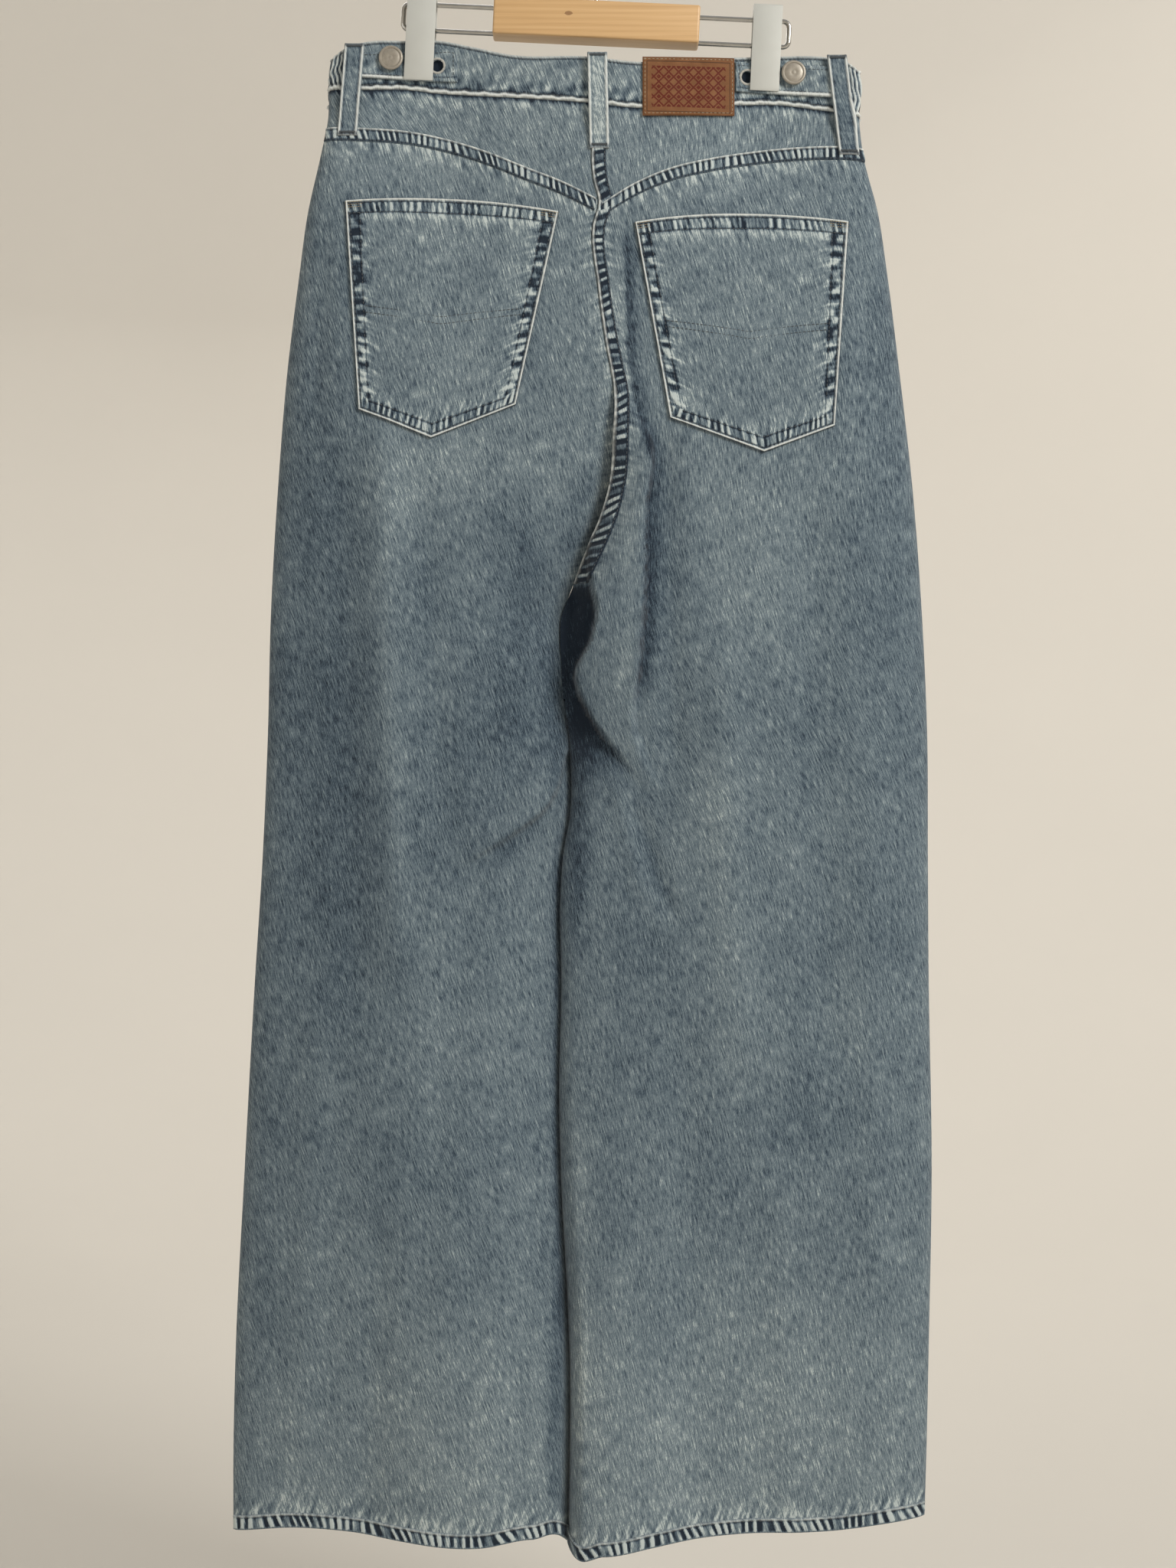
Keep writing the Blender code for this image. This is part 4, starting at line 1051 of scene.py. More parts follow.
@dataclass(frozen=True)
class PlainFinish:
    """A painted studio surface with a very faint tooth."""

    name: str
    light: Colour

    def make(self) -> bpy.types.Material:
        """Builds the material.

        Returns:
            The material, its nodes joined.
        """
        w = Wiring(self.name)
        place = w.node("TexCoord").outputs["Object"]
        shade = tuple(0.97 * part for part in self.light)
        w.base(w.mixed(w.math("ADD", w.noise(place, 2.0, 3.0), 0.5), shade, self.light))
        w.set(Roughness=0.95, Specular_IOR_Level=0.1)
        return w.material


# ---------------------------------------------------------------- pieces of cloth
@dataclass
class ClothPiece:
    """One cut piece: a grid of points on its layer, its wall, and what its finish reads at each point."""

    name: str
    layer: Layer
    points: Array
    flat: Array
    lift: Array | float = -DENIM
    wall: Array | float = DENIM
    wear: Array | float = 0.0
    # seam puckers, with painted shade behind the buttonholes and along the pockets' edges
    pucker: Array | float = 0.0
    along: Array | float = 0.0
    away: Array | float = 1.0
    # the wash's tone, with painted light and shade in folds, recesses and under edges
    fade: Array | float = 0.0
    grain: Array | float = 1.0
    middle: Array | float = 0.0
    corner_uv: bool = False

    def normals(self) -> Array:
        """Unit normals at the grid's points, facing away from the middle plane."""
        normals = np.cross(np.gradient(self.points, axis=1), np.gradient(self.points, axis=0))
        normals *= np.sign(normals[..., 1].mean() * self.layer.value)
        normals[np.abs(self.points[..., 1] - self.spread(self.middle)) < GAP, 1] = 0
        return normals / np.maximum(np.linalg.norm(normals, axis=-1, keepdims=True), 1e-12)

    def spread(self, value: Array | float) -> Array:
        """A value for every point of the grid."""
        return np.broadcast_to(np.asarray(value, float), self.points.shape[:2])

    def sizes(self) -> tuple[float, float, float]:
        """What the piece was cut to, from the grid's own lengths, since cloth doesn't stretch.

        Returns:
            The width, the length and the area.
        """
        width = np.linalg.norm(np.diff(self.points, axis=1), axis=-1).sum(axis=1).max()
        length = np.linalg.norm(np.diff(self.points, axis=0), axis=-1).sum(axis=0).max()
        across = self.points[1:, 1:] - self.points[:-1, :-1]
        other = self.points[1:, :-1] - self.points[:-1, 1:]
        area = np.linalg.norm(np.cross(across, other), axis=-1).sum() / 2
        return float(width), float(length), float(min(area, width * length))

    def flat_uv(self) -> Array:
        """Flat coordinates in metres, evened out from row to row.

        Returns:
            For each point X along the cloth and Y up.
        """
        steps = np.linalg.norm(np.diff(self.points, axis=1), axis=-1)
        sign = np.sign(self.flat[0, -1, 0] - self.flat[0, 0, 0])
        slack = np.cumsum(steps - np.abs(np.diff(self.flat[..., 0], axis=1)), axis=1)
        extra = np.concatenate([np.zeros((len(steps), 1)), slack], axis=1)
        reach = min(45, len(extra) // 3)
        if reach:
            padded = np.pad(extra, ((reach, reach), (0, 0)), mode="edge")
            extra = np.mean([padded[i:i + len(extra)] for i in range(2 * reach + 1)], axis=0)
        u, v = self.flat[..., 0] + sign * extra, -self.flat[..., 1]
        if self.corner_uv:
            u, v = u - u[:1, :1], v - v[:1, :1]
        return np.stack([u, v], axis=-1)

    def solid(self, material: bpy.types.Material) -> bpy.types.Object:
        """Builds the closed wall.

        Args:
            material: its finish.

        Returns:
            The new object, with its flat coordinates and its finish's attributes.
        """
        normals = self.normals()
        lift = self.spread(self.lift)[..., None]
        wall = self.spread(self.wall)[..., None]
        inner = self.points + normals * lift
        outer = self.points + normals * (lift + wall)
        middle = self.spread(self.middle)
        for face in (inner, outer):
            depth = self.layer.value * (face[..., 1] - middle)
            face[..., 1] = middle + self.layer.value * np.maximum(depth, GAP / 2)
        rows, columns = self.points.shape[:2]
        count = rows * columns
        index = np.arange(count).reshape(rows, columns)
        quads = np.stack([index[:-1, :-1], index[:-1, 1:], index[1:, 1:], index[1:, :-1]], -1).reshape(-1, 4)
        ring = np.concatenate([index[0, :-1], index[:-1, -1], index[-1, :0:-1], index[:0:-1, 0]])
        after = np.roll(ring, -1)
        rim = np.stack([after, ring, ring + count, after + count], axis=-1)
        faces = np.concatenate([quads, quads[:, ::-1] + count, rim])
        turned = np.cross(np.gradient(self.points, axis=1), np.gradient(self.points, axis=0))[..., 1].mean()
        if turned * self.layer.value < 0:
            faces = faces[:, ::-1]
        mesh = bpy.data.meshes.new(self.name)
        mesh.from_pydata(np.concatenate([outer.reshape(-1, 3), inner.reshape(-1, 3)]), [], faces)
        for name in ("wear", "pucker", "along", "away", "fade", "grain"):
            values = np.tile(self.spread(getattr(self, name)).reshape(-1), 2).astype(np.float32)
            mesh.attributes.new(name, "FLOAT", "POINT").data.foreach_set("value", values)
        corners = np.empty(len(mesh.loops), np.int32)
        mesh.loops.foreach_get("vertex_index", corners)
        uv = np.tile(self.flat_uv().reshape(-1, 2), (2, 1))[corners]
        mesh.uv_layers.new(name=UV_NAME).data.foreach_set("uv", uv.astype(np.float32).reshape(-1))
        mesh.shade_smooth()
        mesh.set_sharp_from_angle(angle=math.radians(55))
        mesh.materials.append(material)
        return add_to_scene(bpy.data.objects.new(self.name, mesh))


def add_to_scene(obj: bpy.types.Object) -> bpy.types.Object:
    """Links an object and returns it."""
    bpy.context.scene.collection.objects.link(obj)
    return obj


def mottled(x: Array, y: Array, seed: float) -> Array:
    """A smooth cloudy field from about -1 to 1, with forms of about a unit."""
    total = np.zeros(np.broadcast(x, y).shape)
    for k in range(1, 6):
        a, b = 1.9 * math.cos(2.4 * k + seed), 1.9 * math.sin(2.4 * k + seed)
        total += np.sin(a * (1 + 0.45 * k) * x + b * (1 + 0.45 * k) * y + 1.3 * k * seed)
    return total / 2.4


@dataclass(frozen=True)
class Rungs:
    """The puckers of a sewn seam: light rungs on dark cloth, a pitch apart and never quite alike."""

    seed: float
    pitch: float = PITCH
    lean: float = 0.25
    depth: float = 1.0
    ridge: float = 1.0
    tone: float = -0.06
    both_rows: bool = True

    def at(self, along: Array, aside: Array) -> Array:
        """The puckers' height at places beside the seam.

        Args:
            along: the places' distances along the seam.
            aside: their distances across it.

        Returns:
            The heights, from -1 to 1.
        """
        drift = 1.3 * np.sin(along * 61 + self.seed) + 0.9 * np.sin(along * 149 + 2.1 * self.seed)
        lean = self.lean * (1 + 0.9 * np.sin(along * 83 + self.seed))
        phase = math.tau * (along - lean * aside) / self.pitch + drift
        vary = 0.72 + 0.36 * np.sin(along * 271 + 1.7 * self.seed)
        vary = vary + 0.30 * np.sin(along * 617 + 0.6 * self.seed)
        bias = 0.35 * np.sin(along * 97 + 3.1 * self.seed)
        return np.clip(vary * np.tanh(2.2 * (np.sin(phase) + bias)), -1, 1)


# ---------------------------------------------------------------- stitches
@dataclass
class StitchRun:
    """A line of stitches: the points it follows and the way that each faces."""

    points: Array
    facing: Array


class StitchTree:
    """The node group that lays stitches along lines of points."""

    SIZES = {"Pitch": 2.9 * MM, "Length": 2.3 * MM, "Width": 0.62 * MM, "Height": 0.5 * MM}

    def __init__(self) -> None:
        """Builds the group once, for all the runs."""
        self.group = bpy.data.node_groups.new("stitches", "GeometryNodeTree")
        face = self.group.interface
        face.new_socket("Geometry", in_out="INPUT", socket_type="NodeSocketGeometry")
        self.identifiers: dict[str, str] = {}
        for name, value in self.SIZES.items():
            socket = face.new_socket(name, in_out="INPUT", socket_type="NodeSocketFloat")
            socket.default_value = value
            self.identifiers[name] = socket.identifier
        socket = face.new_socket("Seed", in_out="INPUT", socket_type="NodeSocketInt")
        socket.default_value = 7
        self.identifiers["Seed"] = socket.identifier
        socket = face.new_socket("Thread", in_out="INPUT", socket_type="NodeSocketMaterial")
        self.identifiers["Thread"] = socket.identifier
        face.new_socket("Geometry", in_out="OUTPUT", socket_type="NodeSocketGeometry")
        self.wire()

    def node(self, kind: str, **settings: object) -> bpy.types.Node:
        """Adds a node to the group."""
        made = self.group.nodes.new(kind)
        for key, value in settings.items():
            setattr(made, key, value)
        return made

    def wire(self) -> None:
        """Adds the group's nodes and joins them."""
        link = self.group.links.new
        source, target = self.node("NodeGroupInput"), self.node("NodeGroupOutput")
        curve = self.node("GeometryNodeMeshToCurve")
        spaced = self.node("GeometryNodeResampleCurve", mode="LENGTH")
        tangent = self.node("GeometryNodeInputTangent")
        facing = self.node("GeometryNodeInputNamedAttribute", data_type="FLOAT_VECTOR")
        facing.inputs["Name"].default_value = "facing"
        along = self.node("FunctionNodeAlignEulerToVector", axis="X")
        outward = self.node("FunctionNodeAlignEulerToVector", axis="Z", pivot_axis="X")
        ball = self.node("GeometryNodeMeshUVSphere")
        ball.inputs["Segments"].default_value = 6
        ball.inputs["Rings"].default_value = 4
        ball.inputs["Radius"].default_value = 0.5
        size = self.node("ShaderNodeCombineXYZ")
        slack = self.node("FunctionNodeRandomValue", data_type="FLOAT")
        slack.inputs[2].default_value = 0.86
        slack.inputs[3].default_value = 1.10
        varied = self.node("ShaderNodeVectorMath", operation="SCALE")
        placed = self.node("GeometryNodeInstanceOnPoints")
        real = self.node("GeometryNodeRealizeInstances")
        finish = self.node("GeometryNodeSetMaterial")
        link(source.outputs["Geometry"], curve.inputs["Mesh"])
        link(curve.outputs["Curve"], spaced.inputs["Curve"])
        link(source.outputs["Pitch"], spaced.inputs["Length"])
        link(tangent.outputs[0], along.inputs["Vector"])
        link(along.outputs[0], outward.inputs["Rotation"])
        link(facing.outputs["Attribute"], outward.inputs["Vector"])
        for index, name in enumerate(("Length", "Width", "Height")):
            link(source.outputs[name], size.inputs[index])
        link(source.outputs["Seed"], slack.inputs["Seed"])
        link(size.outputs[0], varied.inputs[0])
        link(slack.outputs[1], varied.inputs["Scale"])
        link(spaced.outputs["Curve"], placed.inputs["Points"])
        link(ball.outputs["Mesh"], placed.inputs["Instance"])
        link(outward.outputs[0], placed.inputs["Rotation"])
        link(varied.outputs[0], placed.inputs["Scale"])
        link(placed.outputs["Instances"], real.inputs["Geometry"])
        link(real.outputs["Geometry"], finish.inputs["Geometry"])
        link(source.outputs["Thread"], finish.inputs["Material"])
        link(finish.outputs["Geometry"], target.inputs["Geometry"])

    def lay(self, name: str, runs: Sequence[StitchRun], thread: bpy.types.Material,
            **sizes: float) -> bpy.types.Object:
        """Lays stitches along runs.

        Args:
            name: the new piece's name.
            runs: the lines to follow.
            thread: the stitches' finish.
            sizes: any of the group's named sizes that differ here.

        Returns:
            One plain mesh with all the runs' stitches.
        """
        mesh = bpy.data.meshes.new(name + "_lines")
        points = np.concatenate([run.points for run in runs])
        edges, start = [], 0
        for run in runs:
            steps = np.arange(start, start + len(run.points))
            edges.append(np.stack([steps[:-1], steps[1:]], axis=-1))
            start += len(run.points)
        mesh.from_pydata(points, np.concatenate(edges), [])
        facing = np.concatenate([run.facing for run in runs]).astype(np.float32)
        mesh.attributes.new("facing", "FLOAT_VECTOR", "POINT").data.foreach_set("vector", facing.reshape(-1))
        lines = bpy.data.objects.new(name + "_lines", mesh)
        modifier = lines.modifiers.new("stitches", "NODES")
        modifier.node_group = self.group
        for key, value in sizes.items():
            modifier[self.identifiers[key]] = value
        modifier[self.identifiers["Thread"]] = thread
        add_to_scene(lines)
        graph = bpy.context.evaluated_depsgraph_get()
        made = bpy.data.meshes.new_from_object(lines.evaluated_get(graph))
        lines.modifiers.remove(modifier)
        bpy.data.objects.remove(lines)
        made.name = name
        if not made.materials:
            made.materials.append(thread)
        made.shade_smooth()
        return add_to_scene(bpy.data.objects.new(name, made))


# ---------------------------------------------------------------- the jeans
@dataclass
class Workshop:
    """What every sub-assembly needs: the cloth's shape, the finishes and the stitch maker."""

    surface: ClothSurface
    finishes: dict[str, bpy.types.Material]
    stitches: StitchTree
    made: list[str] = field(default_factory=list)

    def keep(self, obj: bpy.types.Object, slot: str, *nodes: str) -> bpy.types.Object:
        """Makes a piece ride on the part and stand for the nodes it replaces.

        Args:
            obj: the piece.
            slot: not used.
            nodes: the CAD nodes that it stands for.

        Returns:
            The piece.
        """
        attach(obj, "root")
        if nodes:
            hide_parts(*nodes)
        self.made.append(obj.name)
        log.info("%s: %d faces", obj.name, len(obj.data.polygons))
        return obj

    def sew(self, name: str, runs: Sequence[StitchRun], thread: str = "thread",
            **sizes: float) -> bpy.types.Object:
        """Lays stitches along runs and keeps them."""
        return self.keep(self.stitches.lay(name, runs, self.finishes[thread], **sizes), "denim")

    def run(self, layer: Layer, flat: Array, lift: float, spacing: float = 4 * MM) -> StitchRun:
        """A line of stitches over a layer.

        Args:
            layer: the layer below it.
            flat: the line's corners, in across and drop.
            lift: how far above the layer it lies.
            spacing: the distance between the points that it follows.

        Returns:
            The run.
        """
        lengths = np.concatenate([[0], np.cumsum(np.linalg.norm(np.diff(flat, axis=0), axis=1))])
        at = np.linspace(0, lengths[-1], max(int(lengths[-1] / spacing), 2))
        dense = np.stack([np.interp(at, lengths, flat[:, k]) for k in (0, 1)], axis=-1)
        facing = self.surface.facing(layer, dense)
        return StitchRun(self.surface.on_layer(layer, dense) + facing * lift, facing)

    def band(self, name: str, layer: Layer, flat: Array, along: Array, aside: Array, width: Array | float,
             rungs: Rungs, side: Side) -> bpy.types.Object:
        """A felled seam's band or a hem: a puckered strip that lies on the panel.

        Args:
            name: the strip's name.
            layer: the layer that it lies on.
            flat: its grid of flat points.
            along: the distance along the strip at each point.
            aside: the distance from its worn edge.
            width: its width.
            rungs: its puckers.
            side: the side whose folds it follows.

        Returns:
            The strip.
        """
        surface = self.surface
        waves = rungs.at(along, aside)
        to_edge = np.minimum(aside, width - aside)
        ridge = bell(aside, 0.8 * MM, 0.65 * MM)
        ragged = 0.80 + 0.30 * mottled(along / (4 * MM), aside / (9 * MM), rungs.seed)
        sewn = bell(aside, FIRST_ROW, 0.55 * MM)
        if rungs.both_rows:
            sewn = sewn + bell(width - aside, LAST_ROW, 0.55 * MM)
        between = ramp(to_edge, 0.6 * MM, 2.2 * MM)
        body = rounded(to_edge, 1.0 * MM)
        piece = ClothPiece(
            name, layer, surface.points(layer, side, flat[..., 0], flat[..., 1]), flat,
            lift=0.05 * MM,
            wall=0.25 * MM + (FELL_PROUD + PUCKER * waves * between) * body + 0.35 * MM * ridge
            - 0.30 * MM * sewn * body,
            pucker=1.75 * rungs.depth * waves * between - 1.35 * sewn,
            wear=np.clip(rungs.ridge * ridge * ragged * (1 + 0.3 * waves), 0, 1),
            fade=wash(layer, flat[..., 0], flat[..., 1]) + rungs.tone,
            middle=surface.middle(side, flat[..., 0], flat[..., 1]),
        )
        return self.keep(piece.solid(self.finishes["denim"]), "denim")


def declare(piece: ClothPiece, obj: bpy.types.Object,
            goes_with: Sequence[bpy.types.Object] = ()) -> None:
    """Logs what a piece was cut to."""
    width, length, area = piece.sizes()
    log.info("%s is cut %.0f x %.0f mm", obj.name, width / MM, length / MM)


@dataclass
class Legs:
    """The four panels, each from the waist to its hem, and the bands of their seams and hems."""

    shop: Workshop
    back_step: float = 2.4 * MM
    front_step: float = 4.0 * MM
    band_step: float = 0.75 * MM
    recess_shade: float = 0.62
    hem_band: float = 10.5 * MM
    panel_size: tuple[float, float] = (0.245, 1.0)

    def levels(self, length: float, step: float) -> int:
        """How many steps cover a length."""
        return max(int(round(length / step)), 2)

    def cut(self, layer: Layer, side: Side) -> ClothPiece:
        """One panel, cut, with its wash and painted shading.

        Args:
            layer: the back or the front.
            side: the left or the right.

        Returns:
            The piece, before it is built.
        """
        surface = self.shop.surface
        hem = surface.hem(side)
        step = self.back_step if layer is Layer.BACK else self.front_step
        columns = close_at_ends(self.levels(self.panel_size[0], step)) ** 1.25
        rows = even(self.levels(self.panel_size[1], step))
        if layer is Layer.BACK:
            flat = surface.panel(layer, side, lambda x: surface.yoke_seam(x) + GAP, hem, columns, rows)
        else:
            flat = surface.panel(layer, side, surface.front_top(side), lambda x: hem(x) - 2 * MM,
                                 columns, rows)
        across, drop = flat[..., 0], flat[..., 1]
        piece = ClothPiece(
            f"{layer.word}_{side.word}_panel", layer,
            surface.points(layer, side, across, drop), flat,
            fade=wash(layer, across, drop), grain=coarseness(drop), middle=surface.middle(side, across, drop),
        )
        if layer is Layer.BACK and side is Side.RIGHT:
            # painted shade in the recess inside the flap's free edge
            piece.fade = piece.fade - self.recess_shade * surface.recess(across, drop)
        piece.along, piece.away = self.seams_near(layer, side, across, drop, hem)
        return piece

    def seams_near(self, layer: Layer, side: Side, across: Array, drop: Array,
                   hem: Edge) -> tuple[Array, Array]:
        """Where each place of a panel lies by its nearest puckered seam.

        Args:
            layer: the panel's layer.
            side: its side.
            across: the places' X.
            drop: their distance below the origin.
            hem: the panel's bottom edge.

        Returns:
            The distances along the seam and the distances from it.
        """
        to_hem = np.maximum(hem(across) - self.hem_band - drop, 0)
        along, away = across.copy(), to_hem
        if layer is Layer.BACK:
            to_yoke = np.maximum(drop - self.shop.surface.yoke_seam(across) - FELL, 0)
            away = np.minimum(away, to_yoke)
            seam = SEAT_SEAM.read("across", drop)
            seam = seam + (SEAT_SEAM.read("width", drop) if side is Side.RIGHT else 0)
            to_seam = np.where(drop < 0.49, np.maximum(side.value * (across - seam), 0), 1.0)
            closer = to_seam < away
            along = np.where(closer, drop + 0.7, along)
            away = np.minimum(away, to_seam + 5 * MM)
        return along, away

    def build_bands(self, layer: Layer, side: Side) -> list[bpy.types.Object]:
        """The bands on one panel, and their stitches.

        Args:
            layer: the panel's layer.
            side: its side.

        Returns:
            All of them, as they go with the panel.
        """
        surface, shop = self.shop.surface, self.shop
        word = f"{layer.word}_{side.word}"
        hem = surface.hem(side)
        shorter = 0 if layer is Layer.BACK else 2 * MM
        columns = np.linspace(0.006, 0.994, self.levels(self.panel_size[0], self.band_step) + 1)
        rows = close_at_ends(self.levels(self.hem_band, 0.75 * MM))
        flat = surface.panel(layer, side, lambda x: hem(x) - shorter - self.hem_band,
                             lambda x: hem(x) - shorter, columns, rows)
        rungs = Rungs(1.0 + side.value, HEM_PITCH, lean=0.30, depth=1.3, ridge=0.55, both_rows=False)
        made = [shop.band(f"hem_band_{word}", layer, flat, flat[..., 0], rows[:, None] * self.hem_band,
                          self.hem_band, rungs, side)]
        lines = [self.sewn_line(layer, flat, FIRST_ROW / self.hem_band, rows)]
        if layer is Layer.BACK:
            flat = surface.panel(layer, side, surface.yoke_seam, lambda x: surface.yoke_seam(x) + FELL,
                                 columns, rows)
            made.append(shop.band(f"yoke_band_{side.word}", layer, flat, flat[..., 0],
                                  rows[:, None] * FELL, FELL, Rungs(3.0 + side.value, lean=0.2), side))
            lines += [self.sewn_line(layer, flat, at / FELL, rows) for at in (FIRST_ROW, FELL - LAST_ROW)]
            if side is Side.RIGHT:
                made.append(self.seat_band(lines))
        made.append(shop.sew(f"stitches_{word}", lines))
        return made

    def sewn_line(self, layer: Layer, flat: Array, level: float, rows: Array) -> StitchRun:
        """A run of stitches along a strip's grid at a level of its height."""
        line = flat[int(np.abs(rows - level).argmin())][3:-3]
        return self.shop.run(layer, line[line[:, 0].argsort()], 1.0 * MM)

    def seat_band(self, lines: list[StitchRun]) -> bpy.types.Object:
        """The band of the centre seam, from the waistband down to the crotch.

        Args:
            lines: the runs of stitches, which get this band's two rows.

        Returns:
            The band.
        """
        surface = self.shop.surface
        top = float(WAIST.read("bottom", 0.0)) + 0.5 * MM
        drops = np.arange(top, surface.crotch_drop - 1.5 * MM, self.band_step)[:, None]
        share = close_at_ends(15)[None, :]
        width = SEAT_SEAM.read("width", drops) + 0 * share
        across = SEAT_SEAM.read("across", drops) + width * share + 0.4 * MM
        flat = np.stack([across, drops + 0 * share], axis=-1)
        for at in (FIRST_ROW, FELL - LAST_ROW):
            middle = SEAT_SEAM.read("across", drops[:, 0]) + 0.4 * MM + width[:, 0] * at / FELL
            lines.append(self.shop.run(Layer.BACK, np.stack([middle, drops[:, 0]], axis=-1), 1.0 * MM))
        rungs = Rungs(9.0, pitch=6.2 * MM, lean=-0.30, tone=-0.28)
        return self.shop.band("seat_band", Layer.BACK, flat, drops + 0 * share, width * share, width, rungs,
                              Side.RIGHT)

    def build(self) -> None:
        """Builds and declares all that belongs to the four panels."""
        for layer in Layer:
            for side in Side:
                piece = self.cut(layer, side)
                node = f"{layer.word}_{side.word}"
                obj = self.shop.keep(piece.solid(self.shop.finishes["denim"]), "denim", node)
                bands = self.build_bands(layer, side)
                declare(piece, obj, bands)


@dataclass
class Waist:
    """The yokes, the waistband and the cinching tabs with their buttonholes."""

    shop: Workshop
    step: float = 1.1 * MM
    tab_corners: dict[Side, tuple[tuple[float, float], ...]] = field(default_factory=lambda: {
        Side.LEFT: ((-0.176, 0.1165), (-0.0975, 0.1125), (-0.0975, 0.1365), (-0.176, 0.1330)),
        Side.RIGHT: ((0.0975, 0.1222), (0.1735, 0.1265), (0.1735, 0.1480), (0.0975, 0.1428)),
    })
    buttonholes: dict[Side, tuple[float, float]] = field(default_factory=lambda: {
        Side.LEFT: (-0.1116, 0.1250), Side.RIGHT: (0.1060, 0.1330)})
    tab_size: tuple[float, float] = (77.0 * MM, 21.5 * MM)
    hole_radius: float = 4.2 * MM
    # how far the painted shade behind each buttonhole reaches
    clear_of_hole: float = 4.6 * MM

    def build_yokes(self) -> None:
        """The V-shaped yoke's two halves."""
        surface = self.shop.surface
        for side in Side:
            flat = surface.panel(Layer.BACK, side, lambda x: WAIST.read("bottom", x) + GAP,
                                 surface.yoke_seam, close_at_ends(110), fine_at_ends(36))
            across, drop = flat[..., 0], flat[..., 1]
            below = np.maximum(drop - WAIST.read("bottom", across), 0)
            piece = ClothPiece(f"yoke_{side.word}_panel", Layer.BACK,
                               surface.points(Layer.BACK, side, across, drop), flat,
                               # the dark line just under the waistband's edge is a painted shadow
                               fade=wash(Layer.BACK, across, drop) - 0.75 * bell(below, 0, 2.2 * MM),
                               along=across, away=below, grain=coarseness(drop))
            obj = self.shop.keep(piece.solid(self.shop.finishes["denim"]), "denim", f"yoke_{side.word}")
            declare(piece, obj)

    def build_band(self, layer: Layer) -> None:
        """One half of the waistband, folded double, with its stitching.

        Args:
            layer: the back or the front.
        """
        surface, shop = self.shop.surface, self.shop
        if layer is Layer.BACK:
            top, bottom = (lambda x: WAIST.read("top", x)), (lambda x: WAIST.read("bottom", x))
        else:
            top, bottom = surface.front_waist_top, surface.front_waist_bottom
        columns, rows = close_at_ends(int(0.19 / self.step)), fine_at_ends(int(0.045 / self.step))
        halves = [surface.panel(layer, side, top, bottom, columns, rows) for side in Side]
        flat = np.concatenate([halves[0][:, ::-1], halves[1][:, 1:]], axis=1)
        middle = halves[0].shape[1]
        points = np.concatenate([
            surface.points(layer, Side.LEFT, flat[:, :middle, 0], flat[:, :middle, 1]),
            surface.points(layer, Side.RIGHT, flat[:, middle:, 0], flat[:, middle:, 1]),
        ], axis=1)
        across, drop = flat[..., 0], flat[..., 1]
        level = (drop - top(across)) / (bottom(across) - top(across))
        ripple = 0.35 * MM * np.sin(across * 420) + 0.25 * MM * np.sin(across * 910 + 1)
        from_top, from_bottom = drop - top(across), bottom(across) - drop + ripple
        to_edge = np.minimum(from_top, np.maximum(from_bottom, 0))
        uneven = 3.0 * np.sin(level * 5.5 + np.sign(across))
        pleats = np.sin(across * 2100 + uneven + 0.8 * np.sin(level * 17))
        pleats = pleats * ramp(np.abs(across), 0.172, 0.180)
        low_roll = bell(from_bottom, 1.2 * MM, 1.2 * MM)
        high_roll = bell(from_top, 0.8 * MM, 0.8 * MM)
        sewn = bell(from_bottom, 3.7 * MM, 0.9 * MM)
        sewn = sewn + 0.7 * bell(from_top, 2.3 * MM, 0.6 * MM)
        lines_up = mottled(across / (5 * MM) + level * 2.0, drop / (10 * MM), 2.0)
        marble = (0.25 + 0.75 * ramp(level, 0.40, 0.90)) * lines_up * ramp(to_edge, 2 * MM, 5 * MM)
        marble = marble * (1.0 if layer is Layer.BACK else 0.5)
        # painted shade on the waistband behind each buttonhole, with its wear taken out
        hole_shade = sum(np.exp(-(np.hypot(across - x, drop - d) / self.clear_of_hole) ** 6)
                    for x, d in self.buttonholes.values())
        hole_shade = hole_shade if layer is Layer.BACK else 0 * across
        piece = ClothPiece(
            f"waistband_{layer.word}_band", layer, points, flat,
            lift=BAND_LIFT - BAND,
            wall=BAND * (0.60 + 0.40 * rounded(to_edge, 1.2 * MM)) + 0.9 * MM * low_roll
            + 0.35 * MM * high_roll + 0.30 * MM * marble + 0.45 * MM * pleats - 0.45 * MM * sewn,
            pucker=0.75 * marble - 1.25 * sewn + 1.6 * pleats - 3.0 * hole_shade,
            wear=np.clip(1.25 * low_roll + 0.6 * high_roll + 0.6 * np.maximum(pleats, 0), 0, 1) * (1 - hole_shade),
            fade=0.13 * (1 - ramp(level, 0.45, 0.8)) + wash(layer, across, drop) * 0.5,
            grain=coarseness(drop),
        )
        lines = []
        for edge, inset in ((top, 2.4 * MM), (bottom, -3.4 * MM)):
            for side in Side:
                x = np.sort(np.linspace(0.001, 0.179, 60) * side.value)
                lines.append(shop.run(layer, np.stack([x, edge(x) + inset], axis=-1), BAND_LIFT + 0.15 * MM))
        obj = shop.keep(piece.solid(shop.finishes["denim"]), "denim", f"waistband_{layer.word}")
        sewing = shop.sew(f"stitches_waistband_{layer.word}", lines)
        declare(piece, obj, [sewing])

